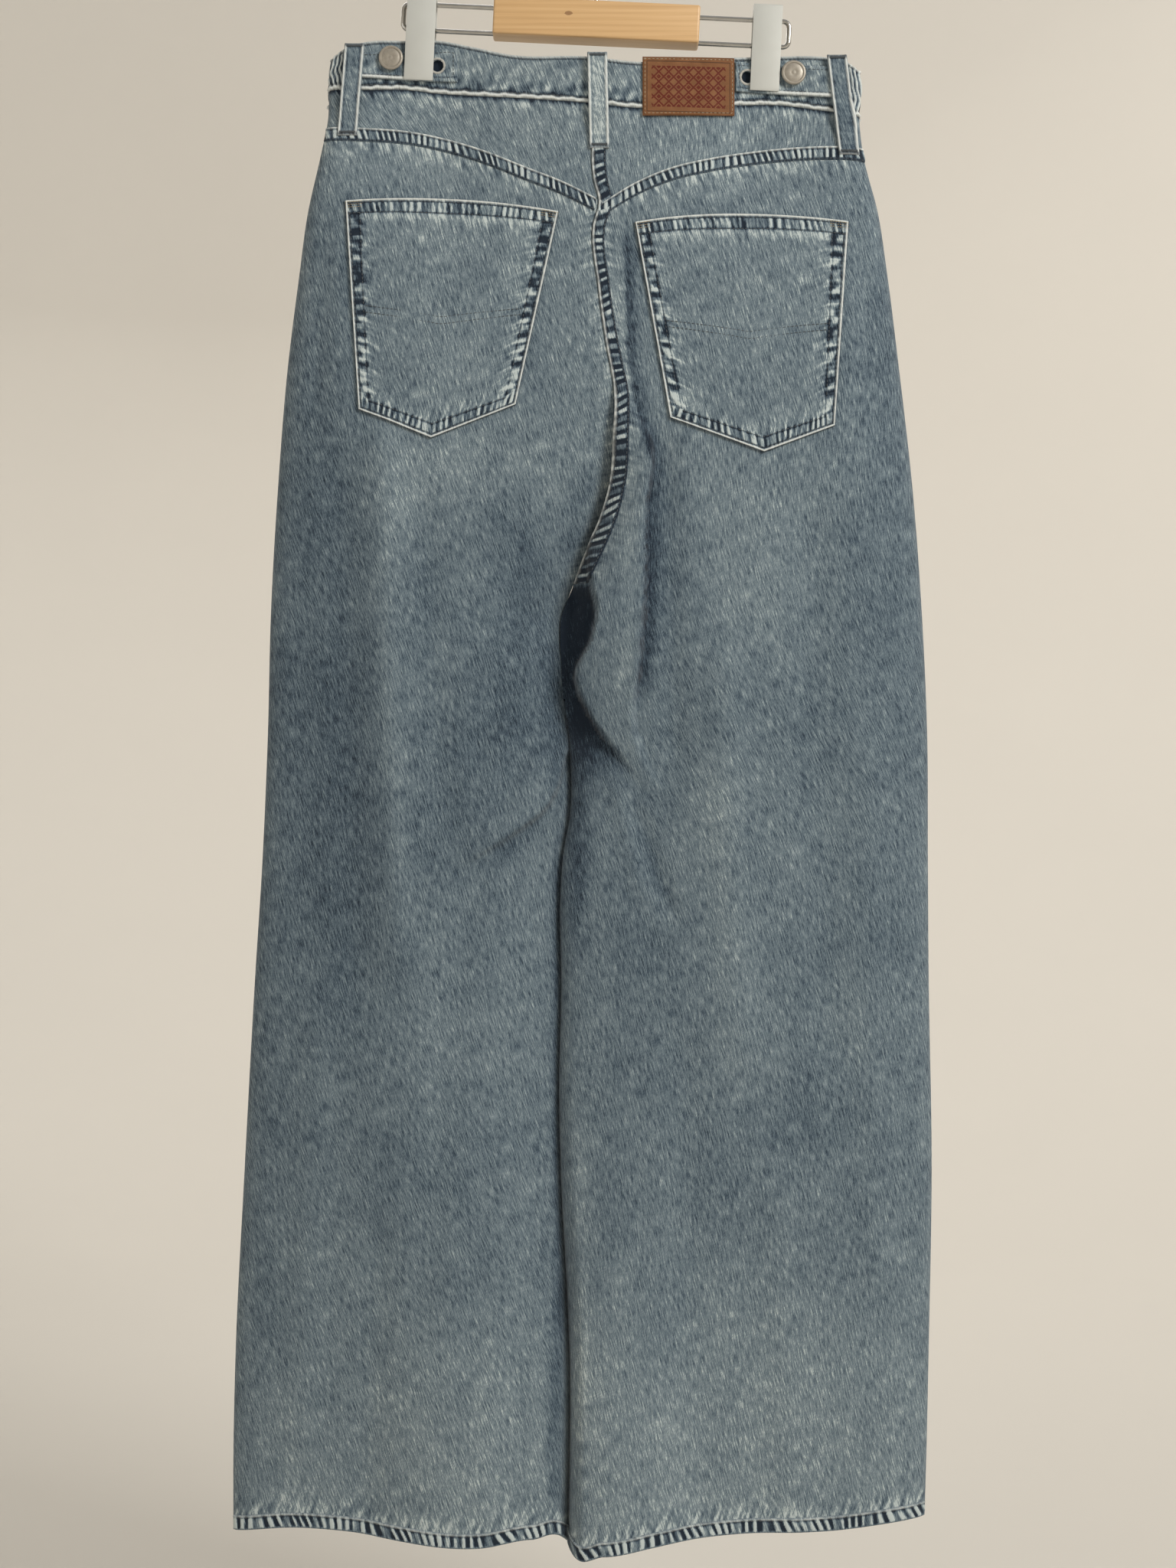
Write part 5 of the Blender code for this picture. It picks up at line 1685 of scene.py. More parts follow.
    def build_tabs(self) -> None:
        """The cinching tabs, each with a bound buttonhole cut through it."""
        shop = self.shop
        for side, corners in self.tab_corners.items():
            shape = FourSided.straight(corners)
            flat = shape.grid(fine_at_ends(96), fine_at_ends(34))
            share, level = np.meshgrid(fine_at_ends(96), fine_at_ends(34))
            width, height = self.tab_size
            to_edge = np.minimum(np.minimum(level, 1 - level) * height, np.minimum(share, 1 - share) * width)
            lower = (1 - level) * height
            from_end = (1 - share if side is Side.LEFT else share) * width
            roll = bell(lower, 1.2 * MM, 1.1 * MM) * ramp(from_end, 20 * MM, 32 * MM)
            sewn = bell(lower, 2.8 * MM, 0.6 * MM)
            marble = mottled(flat[..., 0] / (6 * MM), flat[..., 1] / (7 * MM), 5.0)
            word = side.word
            piece = ClothPiece(
                f"waist_tab_{word}_cloth", Layer.BACK, shop.surface.on_layer(Layer.BACK, flat), flat,
                lift=OVER_BAND,
                wall=TAB * (0.6 + 0.4 * rounded(to_edge, 1.0 * MM)) + 0.1 * MM * marble + 0.5 * MM * roll,
                pucker=0.4 * marble - 0.7 * sewn,
                wear=np.clip(1.25 * roll, 0, 1),
                fade=0.09,
            )
            obj = piece.solid(shop.finishes["worn_denim"])
            across, drop = self.buttonholes[side]
            self.pierce(obj, across, drop)
            shop.keep(obj, "worn_denim", f"waist_tab_{word}")
            u, v = 2.6 * MM / width, 2.6 * MM / height
            outline = shape.at(np.array([u, 1 - u, 1 - u, u, u]), np.array([v, v, 1 - v, 1 - v, v]))
            pieces = [
                shop.sew(f"stitches_waist_tab_{word}",
                         [shop.run(Layer.BACK, outline, OVER_BAND + TAB + 0.1 * MM)]),
                self.binding(f"buttonhole_{word}", across, drop),
            ]
            declare(piece, obj, pieces)

    def pierce(self, obj: bpy.types.Object, across: float, drop: float) -> None:
        """Cuts a round hole through a tab, along Y.

        Args:
            obj: the tab.
            across: the hole's X.
            drop: its distance below the origin.
        """
        tool_mesh = bmesh.new()
        turn = Matrix.Translation((across, 0, -drop)) @ Matrix.Rotation(math.pi / 2, 4, "X")
        bmesh.ops.create_cone(tool_mesh, cap_ends=True, segments=32, radius1=self.hole_radius,
                              radius2=self.hole_radius, depth=0.06, matrix=turn)
        data = bpy.data.meshes.new("hole_tool")
        tool_mesh.to_mesh(data)
        tool_mesh.free()
        tool = add_to_scene(bpy.data.objects.new("hole_tool", data))
        cut = obj.modifiers.new("hole", "BOOLEAN")
        cut.operation, cut.object, cut.solver = "DIFFERENCE", tool, "EXACT"
        graph = bpy.context.evaluated_depsgraph_get()
        mesh = bpy.data.meshes.new_from_object(obj.evaluated_get(graph))
        obj.modifiers.remove(cut)
        old, obj.data = obj.data, mesh
        bpy.data.meshes.remove(old)
        bpy.data.objects.remove(tool)

    def binding(self, name: str, across: float, drop: float) -> bpy.types.Object:
        """The thread that binds a buttonhole's rim: short stitches set side by side round it.

        Args:
            name: the binding's name.
            across: the hole's X.
            drop: its distance below the origin.

        Returns:
            The binding.
        """
        turn = np.linspace(0, math.tau, 49)
        radius = self.hole_radius + 0.9 * MM
        flat = np.stack([across + radius * np.cos(turn), drop + radius * np.sin(turn)], axis=-1)
        run = self.shop.run(Layer.BACK, flat, OVER_BAND + TAB + 0.1 * MM, 0.5 * MM)
        return self.shop.sew(name, [run], "pale_thread", Pitch=0.62 * MM, Length=0.72 * MM, Width=2.0 * MM,
                             Height=0.6 * MM)

    def build(self) -> None:
        """Builds the whole waist."""
        self.build_yokes()
        for layer in Layer:
            self.build_band(layer)
        self.build_tabs()


@dataclass
class BeltLoops:
    """The five belt loops, each sewn down at both ends with a bartack."""

    shop: Workshop
    width: float = 13.8 * MM
    bend: tuple[float, float] = (0.55, 0.92)
    front_clearance: float = 1.0 * MM
    tones: dict[str, float] = field(default_factory=lambda: {"left": 0.02, "centre": 0.32, "right": -0.03})
    ends: dict[Layer, dict[str, tuple[tuple[float, float], tuple[float, float]]]] = field(
        default_factory=lambda: {
            Layer.BACK: {
                "left": ((-0.1696, 0.1105), (-0.1749, 0.1750)),
                "centre": ((0.0005, 0.1185), (0.0021, 0.1854)),
                "right": ((0.1687, 0.1185), (0.1770, 0.1887)),
            },
            Layer.FRONT: {
                "left": ((-0.0740, 0.1150), (-0.0750, 0.1780)),
                "right": ((0.0700, 0.1215), (0.0710, 0.1845)),
            },
        })

    def build(self) -> None:
        """Builds every loop."""
        shop, half = self.shop, self.width / 2
        for layer, loops in self.ends.items():
            for word, (top, bottom) in loops.items():
                name = f"belt_loop_{layer.word}_{word}"
                corners = ((top[0] - half, top[1]), (top[0] + half, top[1]),
                           (bottom[0] + half, bottom[1]), (bottom[0] - half, bottom[1]))
                shape = FourSided.straight(corners)
                flat = shape.grid(fine_at_ends(26), even(76))
                share, level = np.meshgrid(fine_at_ends(26), even(76))
                crest = OVER_TAB if layer is Layer.BACK else OVER_BAND + self.front_clearance
                lift = ON_CLOTH + (crest - ON_CLOTH) * (1 - ramp(level, *self.bend))
                to_edge = np.minimum(share, 1 - share) * self.width
                piping = bell(to_edge, 1.0 * MM, 0.75 * MM)
                sewn = bell(to_edge, 2.7 * MM, 0.6 * MM)
                length = abs(bottom[1] - top[1])
                to_end = np.minimum(level, 1 - level) * length
                waves = Rungs(0.3 * len(name), pitch=5.0 * MM).at(level * length, share * self.width)
                piece = ClothPiece(
                    name + "_cloth", layer, shop.surface.on_layer(layer, flat), flat,
                    lift=lift,
                    wall=LOOP * (0.50 + 0.35 * rounded(to_edge, 0.8 * MM) + 0.30 * piping)
                    * (0.8 + 0.2 * rounded(to_end, 1.5 * MM)) - 0.15 * MM * sewn,
                    pucker=0.15 * waves - 0.65 * sewn - 0.9 * (1 - ramp(to_end, 1.5 * MM, 4.0 * MM)),
                    wear=np.clip(np.maximum(piping * ramp(to_end, 0.5 * MM, 3.5 * MM),
                                            0.35 - to_end / (4 * MM)), 0, 1),
                    fade=self.tones.get(word, 0.0),
                )
                obj = shop.keep(piece.solid(shop.finishes["worn_denim"]), "worn_denim", name)
                bars = []
                for at, above in ((0.965, ON_CLOTH), (0.028, crest)):
                    line = shape.at(np.array([0.12, 0.88]), np.array([at, at]))
                    bars.append(shop.run(layer, line, above + LOOP * 1.02, 0.8 * MM))
                sewing = shop.sew(f"bartacks_{layer.word}_{word}", bars, Pitch=0.62 * MM, Length=0.7 * MM,
                                  Width=2.0 * MM, Height=0.6 * MM)
                declare(piece, obj, [sewing])


@dataclass
class BackPockets:
    """The two patch pockets with their piped edges, puckered bands and double stitching."""

    shop: Workshop
    outlines: dict[Side, dict[str, tuple[tuple[float, float], ...]]] = field(default_factory=lambda: {
        Side.LEFT: {
            "top": ((-0.1757, 0.2219), (-0.1006, 0.2209), (-0.0263, 0.2301)),
            "bottom": ((-0.1652, 0.3698), (-0.1150, 0.3898), (-0.0560, 0.3662)),
        },
        Side.RIGHT: {
            "top": ((0.0267, 0.2375), (0.0967, 0.2313), (0.1761, 0.2367)),
            "bottom": ((0.0510, 0.3753), (0.1164, 0.3994), (0.1656, 0.3810)),
        },
    })
    columns: int = 176
    rows: int = 132
    top_band: float = 9.5 * MM
    side_band: float = 10.5 * MM
    insets: tuple[float, float] = (2.4 * MM, 8.8 * MM)
    narrowing: float = 0.24  # how much narrower the foot is than the mouth

    def shape(self, side: Side) -> FourSided:
        """A pocket's flat outline."""
        top, bottom = self.outlines[side]["top"], self.outlines[side]["bottom"]
        return FourSided(arched(*top), through(*bottom), through(top[0], bottom[0]),
                         through(top[2], bottom[2]))

    def build(self) -> None:
        """Builds both pockets."""
        shop = self.shop
        for side in Side:
            shape = self.shape(side)
            width, height = shape.size()
            flat = shape.grid(fine_at_ends(self.columns), fine_at_ends(self.rows))
            share, level = np.meshgrid(fine_at_ends(self.columns), fine_at_ends(self.rows))
            here = width * (1 - self.narrowing * level)
            to_side = np.minimum(share, 1 - share) * here
            to_top, to_bottom = level * height, (1 - level) * height * 1.05
            low_edge = np.minimum(to_side, to_bottom)
            to_edge = np.minimum(low_edge, to_top)
            seed = 2.0 + side.value
            in_top = 1 - ramp(to_top, self.top_band - 0.5 * MM, self.top_band + 0.5 * MM)
            in_low = (1 - ramp(to_bottom, self.side_band - 1 * MM, self.side_band + 1 * MM)) * (1 - in_top)
            in_side = 1 - ramp(to_side, self.side_band - 1 * MM, self.side_band + 1 * MM)
            in_side = in_side * (1 - in_top) * (1 - in_low)
            patches = np.tanh(2.2 * mottled(level * height / (6 * MM), to_side / (11 * MM), 3 * seed))
            waves = Rungs(seed, lean=0.15).at(share * width, to_top) * in_top
            waves = waves + Rungs(seed + 4, lean=0.2).at(share * here, to_bottom) * in_low + patches * in_side
            inner, sunk = ramp(to_edge, 2.2 * MM, 3.4 * MM), 0.6 * MM
            sewn = sum(bell(low_edge, inset, sunk) for inset in self.insets) * (1 - in_top)
            sewn = sewn + bell(to_top, self.top_band, sunk)
            sewn = sewn + bell(to_top, self.insets[0], sunk)
            piping = bell(to_edge, 0.8 * MM, 0.6 * MM)
            ragged = 1.0 + 0.25 * mottled(share * width / (6 * MM), level * height / (6 * MM), seed + 1)
            # rim: a painted shadow line along the pocket's outermost edge, with its wear taken out
            rim = bell(to_edge, 0, 0.35 * MM)
            corner = np.exp(-(((to_side - 7 * MM) / (6 * MM)) ** 2) - ((to_top - 19 * MM) / (6 * MM)) ** 2)
            below_hem = bell(to_top - self.top_band, 3 * MM, 2.5 * MM)
            inside = ramp(to_edge, self.side_band, 4 * self.side_band)
            x, d = flat[..., 0], flat[..., 1]
            word = side.word
            piece = ClothPiece(
                f"back_pocket_{word}_cloth", Layer.BACK, shop.surface.on_layer(Layer.BACK, flat), flat,
                lift=ON_CLOTH,
                wall=DENIM * (0.55 + 0.45 * rounded(to_edge, 1.0 * MM)) + PUCKER * waves * inner
                + 0.5 * MM * inside * (1 + 0.4 * mottled(x / 0.03, d / 0.04, seed)) - 0.30 * MM * sewn
                + 0.45 * MM * piping,
                pucker=(1.25 * waves - 0.25) * inner * np.maximum(in_top, np.maximum(in_low, in_side))
                - 1.25 * sewn - 0.9 * corner + 0.35 * below_hem * (1 - in_side) - 1.4 * rim,
                wear=np.clip(1.2 * piping * ragged, 0, 1) * (1 - rim),
                fade=wash(Layer.BACK, x, d) + 0.05,
                along=np.where(to_side < np.minimum(to_top, to_bottom), level * height, share * width),
                away=np.maximum(to_edge - self.side_band, 0) + 3.5 * MM, grain=coarseness(d),
            )
            obj = shop.keep(piece.solid(shop.finishes["worn_denim"]), "worn_denim", f"back_pocket_{word}")
            pieces = [self.sewing(side, shape, width, height), self.bartacks(side, shape, width, height)]
            declare(piece, obj, pieces)

    def sewing(self, side: Side, shape: FourSided, width: float, height: float) -> bpy.types.Object:
        """The double row round a pocket, the two rows of its top hem and a plain double row across it.

        Args:
            side: the pocket's side.
            shape: its flat outline.
            width: its width.
            height: its height.

        Returns:
            The stitches.
        """
        shop, lift = self.shop, ON_CLOTH + DENIM
        lines = []
        for inset in self.insets:
            u, v = inset / (width * 0.88), inset / height
            share = np.concatenate([np.full(20, u), np.linspace(u, 1 - u, 31), np.full(20, 1 - u)])
            level = np.concatenate([np.linspace(0.01, 1 - v, 20), np.full(31, 1 - v),
                                    np.linspace(1 - v, 0.01, 20)])
            lines.append(shop.run(Layer.BACK, shape.at(share, level), lift, 3 * MM))
        for inset in (self.insets[0], self.top_band):
            share = np.linspace(0.02, 0.98, 40)
            lines.append(shop.run(Layer.BACK, shape.at(share, np.full(40, inset / height)), lift, 3 * MM))
        for level in (0.50, 0.53):
            share = np.linspace(0.085, 0.915, 40)
            lines.append(shop.run(Layer.BACK, shape.at(share, np.full(40, level)), lift + 0.4 * MM, 3 * MM))
        return shop.sew(f"stitches_back_pocket_{side.word}", lines)

    def bartacks(self, side: Side, shape: FourSided, width: float, height: float) -> bpy.types.Object:
        """The tan bartacks at a pocket's two top corners.

        Args:
            side: the pocket's side.
            shape: its flat outline.
            width: its width.
            height: its height.

        Returns:
            The bartacks.
        """
        shop, lines = self.shop, []
        for start, end in ((0.6, 11.0), (width / MM - 11.0, width / MM - 0.6)):
            for level in (1.6, 3.4, 5.2):
                line = shape.at(np.array([start, end]) * MM / width, np.full(2, level * MM / height))
                lines.append(shop.run(Layer.BACK, line, ON_CLOTH + DENIM + 0.1 * MM, 1 * MM))
        name = f"bartacks_back_pocket_{side.word}"
        return shop.sew(name, lines, "tan_thread", Pitch=1.5 * MM, Length=1.5 * MM)


@dataclass
class Patch:
    """The leather patch at the back of the waist."""

    shop: Workshop
    corners: tuple[tuple[float, float], ...] = (
        (0.0322, 0.1207), (0.0967, 0.1198), (0.0967, 0.1607), (0.0322, 0.1623))

    def build(self) -> None:
        """Builds the patch and the stitches that hold it."""
        shop, shape = self.shop, FourSided.straight(self.corners)
        width, height = shape.size()
        flat = shape.grid(even(64), even(42))
        share, level = np.meshgrid(even(64), even(42))
        to_edge = np.minimum(np.minimum(share, 1 - share) * width, np.minimum(level, 1 - level) * height)
        warp = 0.25 * MM * mottled(share * 3, level * 2, 3.0) * rounded(to_edge, 6 * MM)
        piece = ClothPiece(
            "leather_patch_hide", Layer.BACK, shop.surface.on_layer(Layer.BACK, flat), flat,
            lift=OVER_BAND, wall=LEATHER * (0.6 + 0.4 * rounded(to_edge, 1.0 * MM)) + warp, corner_uv=True)
        obj = shop.keep(piece.solid(shop.finishes["leather"]), "leather", "leather_patch")
        u, v = 1.6 * MM / width, 1.6 * MM / height
        outline = shape.at(np.array([u, 1 - u, 1 - u, u, u]), np.array([v, v, 1 - v, 1 - v, v]))
        run = shop.run(Layer.BACK, outline, OVER_BAND + LEATHER, 2 * MM)
        sewing = shop.sew("stitches_patch", [run], "tan_thread")
        declare(piece, obj, [sewing])


@dataclass
class FrontDetails:
    """The fly's placket and the cloth that shows in the two front pocket mouths."""

    shop: Workshop
    fly_top: float = 0.158
    fly_width: float = 0.038
    fly_length: float = 0.165
    past_seam: float = 1.5 * MM
    curve: tuple[float, float] = (0.55, 0.47)
    tuck: float = 8.0 * MM
    half: float = 0.196
    mouth_band: float = 9.0 * MM

    def fly_flat(self, columns: int, rows: int) -> Array:
        """The placket's flat grid, from the centre seam out to its curved edge.

        Args:
            columns: how many steps across.
            rows: how many steps down.

        Returns:
            The points' across and drop.
        """
        surface, level = self.shop.surface, even(rows)
        drop = self.fly_top + self.fly_length * level
        outer = surface.seam_across(Layer.FRONT, drop) + self.past_seam
        curved = np.maximum(level - self.curve[0], 0) / self.curve[1]
        inner = outer - self.fly_width * np.sqrt(np.clip(1 - curved**2, 0, 1))
        across = outer[:, None] + (inner - outer)[:, None] * even(columns)[None, :]
        top = surface.front_waist_bottom(across[0]) + GAP
        bottom = self.fly_top + self.fly_length
        drops = top[None, :] + (bottom - top[None, :]) * ((drop - self.fly_top) / self.fly_length)[:, None]
        return np.stack([across, drops], axis=-1)

    def build_fly(self) -> None:
        """The placket and its curved double row of stitches."""
        shop = self.shop
        flat = self.fly_flat(30, 110)
        to_edge = np.minimum(even(30), 1 - even(30)) * self.fly_width
        waves = Rungs(1.0).at(flat[..., 1], to_edge) * (1 - ramp(to_edge, 6 * MM, 9 * MM))
        piece = ClothPiece(
            "fly_placket_cloth", Layer.FRONT,
            shop.surface.points(Layer.FRONT, Side.LEFT, flat[..., 0], flat[..., 1]), flat,
            lift=ON_CLOTH, wall=DENIM * (0.6 + 0.4 * rounded(to_edge, 1.2 * MM)) + 0.6 * PUCKER * waves,
            pucker=0.7 * waves, wear=np.clip(1.1 - to_edge / (0.9 * MM), 0, 1),
            fade=WASH_AND_SHADING_PATCHES[Layer.FRONT].bumps(flat[..., 0], flat[..., 1]))
        obj = shop.keep(piece.solid(shop.finishes["denim"]), "denim", "fly_placket")
        lines = [shop.run(Layer.FRONT, flat[2:-6, column], ON_CLOTH + DENIM, 3 * MM) for column in (23, 27)]
        declare(piece, obj, [shop.sew("stitches_fly", lines)])

    def build_mouths(self) -> None:
        """The cloth behind each pocket mouth, and the rows of stitches along its edge."""
        shop, surface = self.shop, self.shop.surface
        for side in Side:
            mouth = surface.front_top(side)
            share = 1 - (surface.pocket_mouth[0] + self.tuck) / self.half * (1 - close_at_ends(44))
            flat = surface.panel(Layer.FRONT, side, lambda x: surface.front_waist_bottom(x) + GAP,
                                 lambda x, mouth=mouth: mouth(x) + self.tuck, share, even(30))
            across, drop = flat[..., 0], flat[..., 1]
            word = side.word
            piece = ClothPiece(f"pocket_facing_{word}_cloth", Layer.FRONT,
                               surface.points(Layer.FRONT, side, across, drop), flat,
                               lift=-2 * DENIM - ON_CLOTH, fade=WASH_AND_SHADING_PATCHES[Layer.FRONT].bumps(across, drop) - 0.05)
            obj = shop.keep(piece.solid(shop.finishes["denim"]), "denim", f"pocket_facing_{word}")
            turn = np.linspace(0.06, math.pi / 2 - 0.08, 130)[None, :]
            seam = float(surface.outer_edge(side, np.array(surface.pocket_mouth[2])))
            inset = self.mouth_band * close_at_ends(14)[:, None]
            x = seam - side.value * (surface.pocket_mouth[0] + inset) * np.cos(turn)
            fall = (surface.pocket_mouth[1] + inset) * np.sin(turn)
            ring = np.stack([x, surface.front_waist_bottom(x) + GAP + fall], axis=-1)
            shop.band(f"front_pocket_band_{word}", Layer.FRONT, ring, 0.12 * turn + 0 * inset,
                      inset + 0 * turn, self.mouth_band, Rungs(5.0 + side.value), side)
            lines = [shop.run(Layer.FRONT, ring[row], 1.0 * MM, 3 * MM) for row in (4, 12)]
            sewing = shop.sew(f"stitches_front_pocket_{word}", lines)
            declare(piece, obj, [sewing])

    def build(self) -> None:
        """Builds the front's details."""
        self.build_fly()
        self.build_mouths()


@dataclass
class Buttons:
    """The tack buttons of the waist tabs and the waist button: turned metal with plain rings."""

    shop: Workshop
    steps: int = 56

    def profile(self, radius: float, height: float) -> list[tuple[float, float]]:
        """The turned outline from the middle of the face out and down to the foot."""
        shares = ((0.0, 0.90), (0.10, 0.91), (0.16, 0.86), (0.22, 0.86), (0.28, 0.90), (0.66, 0.90),
                  (0.71, 0.82), (0.76, 0.82), (0.80, 0.97), (0.86, 1.0), (0.93, 0.97), (0.98, 0.85),
                  (1.0, 0.66), (0.985, 0.46), (0.90, 0.27), (0.62, 0.16), (0.60, 0.0), (0.0, 0.0))
        return [(radius * across, height * up) for across, up in shares]

    def build(self) -> None:
        """Turns each button where its CAD node is."""
        for node, layer in (("tab_button_left", Layer.BACK), ("tab_button_right", Layer.BACK),
                            ("waist_button", Layer.FRONT)):
            low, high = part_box(node)
            radius = (high.x - low.x) / 2
            foot = high.y if layer is Layer.BACK else low.y
            mesh = bmesh.new()
            points = [mesh.verts.new((x, 0, z)) for x, z in self.profile(radius, high.y - low.y)]
            for a, b in zip(points, points[1:]):
                mesh.edges.new((a, b))
            bmesh.ops.spin(mesh, geom=mesh.verts[:] + mesh.edges[:], axis=(0, 0, 1), cent=(0, 0, 0),
                           steps=self.steps, angle=math.tau)
            bmesh.ops.remove_doubles(mesh, verts=mesh.verts, dist=1e-5)
            bmesh.ops.recalc_face_normals(mesh, faces=mesh.faces)
            turn = Matrix.Rotation(-layer.value * math.pi / 2, 4, "X")
            middle = ((low.x + high.x) / 2, foot, (low.z + high.z) / 2)
            bmesh.ops.transform(mesh, matrix=Matrix.Translation(middle) @ turn, verts=mesh.verts)
            obj = mesh_object(node + "_metal", mesh, self.shop.finishes["button_metal"], 40)
            self.shop.keep(obj, "button_metal", node)


def mesh_object(name: str, mesh: bmesh.types.BMesh, material: bpy.types.Material,
                sharp: float) -> bpy.types.Object:
    """A smooth-shaded object from a bmesh, which is used up.

    Args:
        name: the object's name.
        mesh: its faces.
        material: its finish.
        sharp: the angle in degrees over which its edges stay sharp.

    Returns:
        The object, in the scene.
    """
    data = bpy.data.meshes.new(name)
    mesh.to_mesh(data)
    mesh.free()
    data.shade_smooth()
    data.set_sharp_from_angle(angle=math.radians(sharp))
    data.materials.append(material)
    return add_to_scene(bpy.data.objects.new(name, data))


# ---------------------------------------------------------------- the hanger
@dataclass
class Hanger:
    """The wooden bar, its two wire frames, the two clips and the hook."""

    shop: Workshop
    tilt: float = math.radians(2.7)
    bar_drop: float = 0.0933
    bar_size: tuple[float, float, float] = (0.145, 0.020, 0.0265)
    rail_up: float = 0.0073
    rail_down: float = -0.0108
    wire: float = 1.75 * MM
    wire_reach: float = 0.1378
    wire_bend: float = 4.4 * MM
    bore: float = 15.0 * MM
    hook_radius: float = 0.020
    hook_curve: tuple[float, float] = (-38.0, 215.0)
    hook_stem_top: float = -0.058
    hook_seat: float = 0.010
    clip_width: float = 20.4 * MM
    clip_sheet: float = 1.5 * MM
    clip_bend: float = 1.5 * MM

    def placing(self) -> Matrix:
        """The matrix from the bar's own frame to the part's."""
        return Matrix.Translation((0, 0, -self.bar_drop)) @ Matrix.Rotation(self.tilt, 4, "Y")

    def build_bar(self) -> None:
        """The wooden block with its eased edges."""
        mesh = bmesh.new()
        bmesh.ops.create_cube(mesh, size=1, matrix=Matrix.Diagonal((*self.bar_size, 1)))
        bmesh.ops.bevel(mesh, geom=mesh.edges[:], offset=1.6 * MM, segments=4, profile=0.5, affect="EDGES")
        bmesh.ops.transform(mesh, matrix=self.placing(), verts=mesh.verts)
        obj = mesh_object("hanger_bar_wood", mesh, self.shop.finishes["wood"], 35)
        self.shop.keep(obj, "wood", "hanger_bar")

    def rod(self, name: str, points: Iterable[Sequence[float]], placing: Matrix, node: str) -> None:
        """A round wire through points, as one smooth mesh with closed ends.

        Args:
            name: its name.
            points: the middle of the wire, in its own frame.
            placing: the matrix from that frame to the part's.
            node: the CAD node that it stands for.
        """
        curve = bpy.data.curves.new(name, "CURVE")
        curve.dimensions = "3D"
        curve.bevel_depth = self.wire
        curve.bevel_resolution = 6
        curve.use_fill_caps = True
        spline = curve.splines.new("POLY")
        places = [placing @ Vector(p) for p in points]
        spline.points.add(len(places) - 1)
        for point, place in zip(spline.points, places):
            point.co = (*place, 1)
        line = add_to_scene(bpy.data.objects.new(name + "_line", curve))
        graph = bpy.context.evaluated_depsgraph_get()
        data = bpy.data.meshes.new_from_object(line.evaluated_get(graph))
        bpy.data.objects.remove(line)
        mesh = bmesh.new()
        mesh.from_mesh(data)
        bmesh.ops.remove_doubles(mesh, verts=mesh.verts, dist=1e-6)
        bmesh.ops.recalc_face_normals(mesh, faces=mesh.faces)
        self.shop.keep(mesh_object(name, mesh, self.shop.finishes["steel"], 50), "steel_wire", node)

    def arc(self, centre: tuple[float, float], radius: float, start: float, end: float, steps: int) -> list:
        """Points on an arc in the XZ plane, its angles in degrees from +X towards +Z."""
        angles = np.radians(np.linspace(start, end, steps))
        return [(centre[0] + radius * math.cos(a), 0, centre[1] + radius * math.sin(a)) for a in angles]

    def build_wires(self) -> None:
        """A U-shaped frame in each end of the bar, for a clip to slide on."""
        half = self.bar_size[0] / 2
        for side in Side:
            s = side.value
            start = s * (half - self.bore + GAP)
            turn = s * (self.wire_reach - self.wire - self.wire_bend)
            outward, down = (0, -90) if side is Side.RIGHT else (180, 270)
            points = [(start, 0, self.rail_up)]
            points += self.arc((turn, self.rail_up - self.wire_bend), self.wire_bend, 90, outward, 9)
            points += self.arc((turn, self.rail_down + self.wire_bend), self.wire_bend, outward, down, 9)
            points += [(start, 0, self.rail_down)]
            word = side.word
            self.rod(f"hanger_wire_{word}_steel", points, self.placing(), f"hanger_wire_{word}")

    def build_hook(self) -> None:
        """The steel hook that stands in the bar's top."""
        bar_top = -self.bar_drop + self.bar_size[2] / 2
        curve = self.arc((0, -self.hook_radius), self.hook_radius + self.wire, *self.hook_curve, 40)
        points = [(0, 0, bar_top - self.hook_seat + GAP), (0, 0, self.hook_stem_top)]
        end = curve[0]
        for s in np.linspace(0, 1, 10)[1:-1]:
            slide, lift = 1 - math.cos(s * math.pi / 2), math.sin(s * math.pi / 2)
            points.append((end[0] * slide, 0, self.hook_stem_top + (end[2] - self.hook_stem_top) * lift))
        self.rod("hanger_hook_steel", points + curve, Matrix.Identity(4), "hanger_hook")

    def build_clips(self) -> None:
        """The two clips: a bent plate over the rail with a turned lip at its foot, where its CAD node is."""
        back = self.placing().inverted()
        for side in Side:
            word = side.word
            node = bpy.data.objects[f"clip_{word}"]
            own = np.array([back @ v.co for v in node.data.vertices])
            low, high = own.min(axis=0), own.max(axis=0)
            sheet, bend, under = self.clip_sheet, self.clip_bend, self.rail_up + self.wire + GAP
            corner = bend * 0.3
            (_, near, foot), (_, far, top) = low, high
            outline = [
                (near + sheet, foot), (near + 0.6 * MM, foot), (near + 0.35 * MM, foot + 1.4 * MM),
                (near, foot + 3.2 * MM), (near, top - bend), (near + corner, top - corner),
                (near + bend, top), (far - bend, top), (far - corner, top - corner), (far, top - bend),
                (far, foot), (far - sheet, foot), (far - sheet, under), (near + sheet, under),
            ]
            mesh = bmesh.new()
            half, middle = self.clip_width / 2, (low[0] + high[0]) / 2
            ends = [[mesh.verts.new((middle + x, y, z)) for y, z in outline] for x in (-half, half)]
            count = len(outline)
            for i in range(count):
                j = (i + 1) % count
                mesh.faces.new((ends[0][i], ends[0][j], ends[1][j], ends[1][i]))
            mesh.faces.new(ends[0])
            mesh.faces.new(ends[1])
            bmesh.ops.recalc_face_normals(mesh, faces=mesh.faces)
            rim = [e for e in mesh.edges
                   if len(e.link_faces) == 2 and e.calc_face_angle(0) > math.radians(40)]
            bmesh.ops.bevel(mesh, geom=rim, offset=0.3 * MM, segments=2, profile=0.5, affect="EDGES",
                            clamp_overlap=True)
            bmesh.ops.triangulate(mesh, faces=[f for f in mesh.faces if len(f.verts) > 4])
            bmesh.ops.transform(mesh, matrix=self.placing(), verts=mesh.verts)
            obj = mesh_object(f"clip_{word}_plate", mesh, self.shop.finishes["plate"], 35)
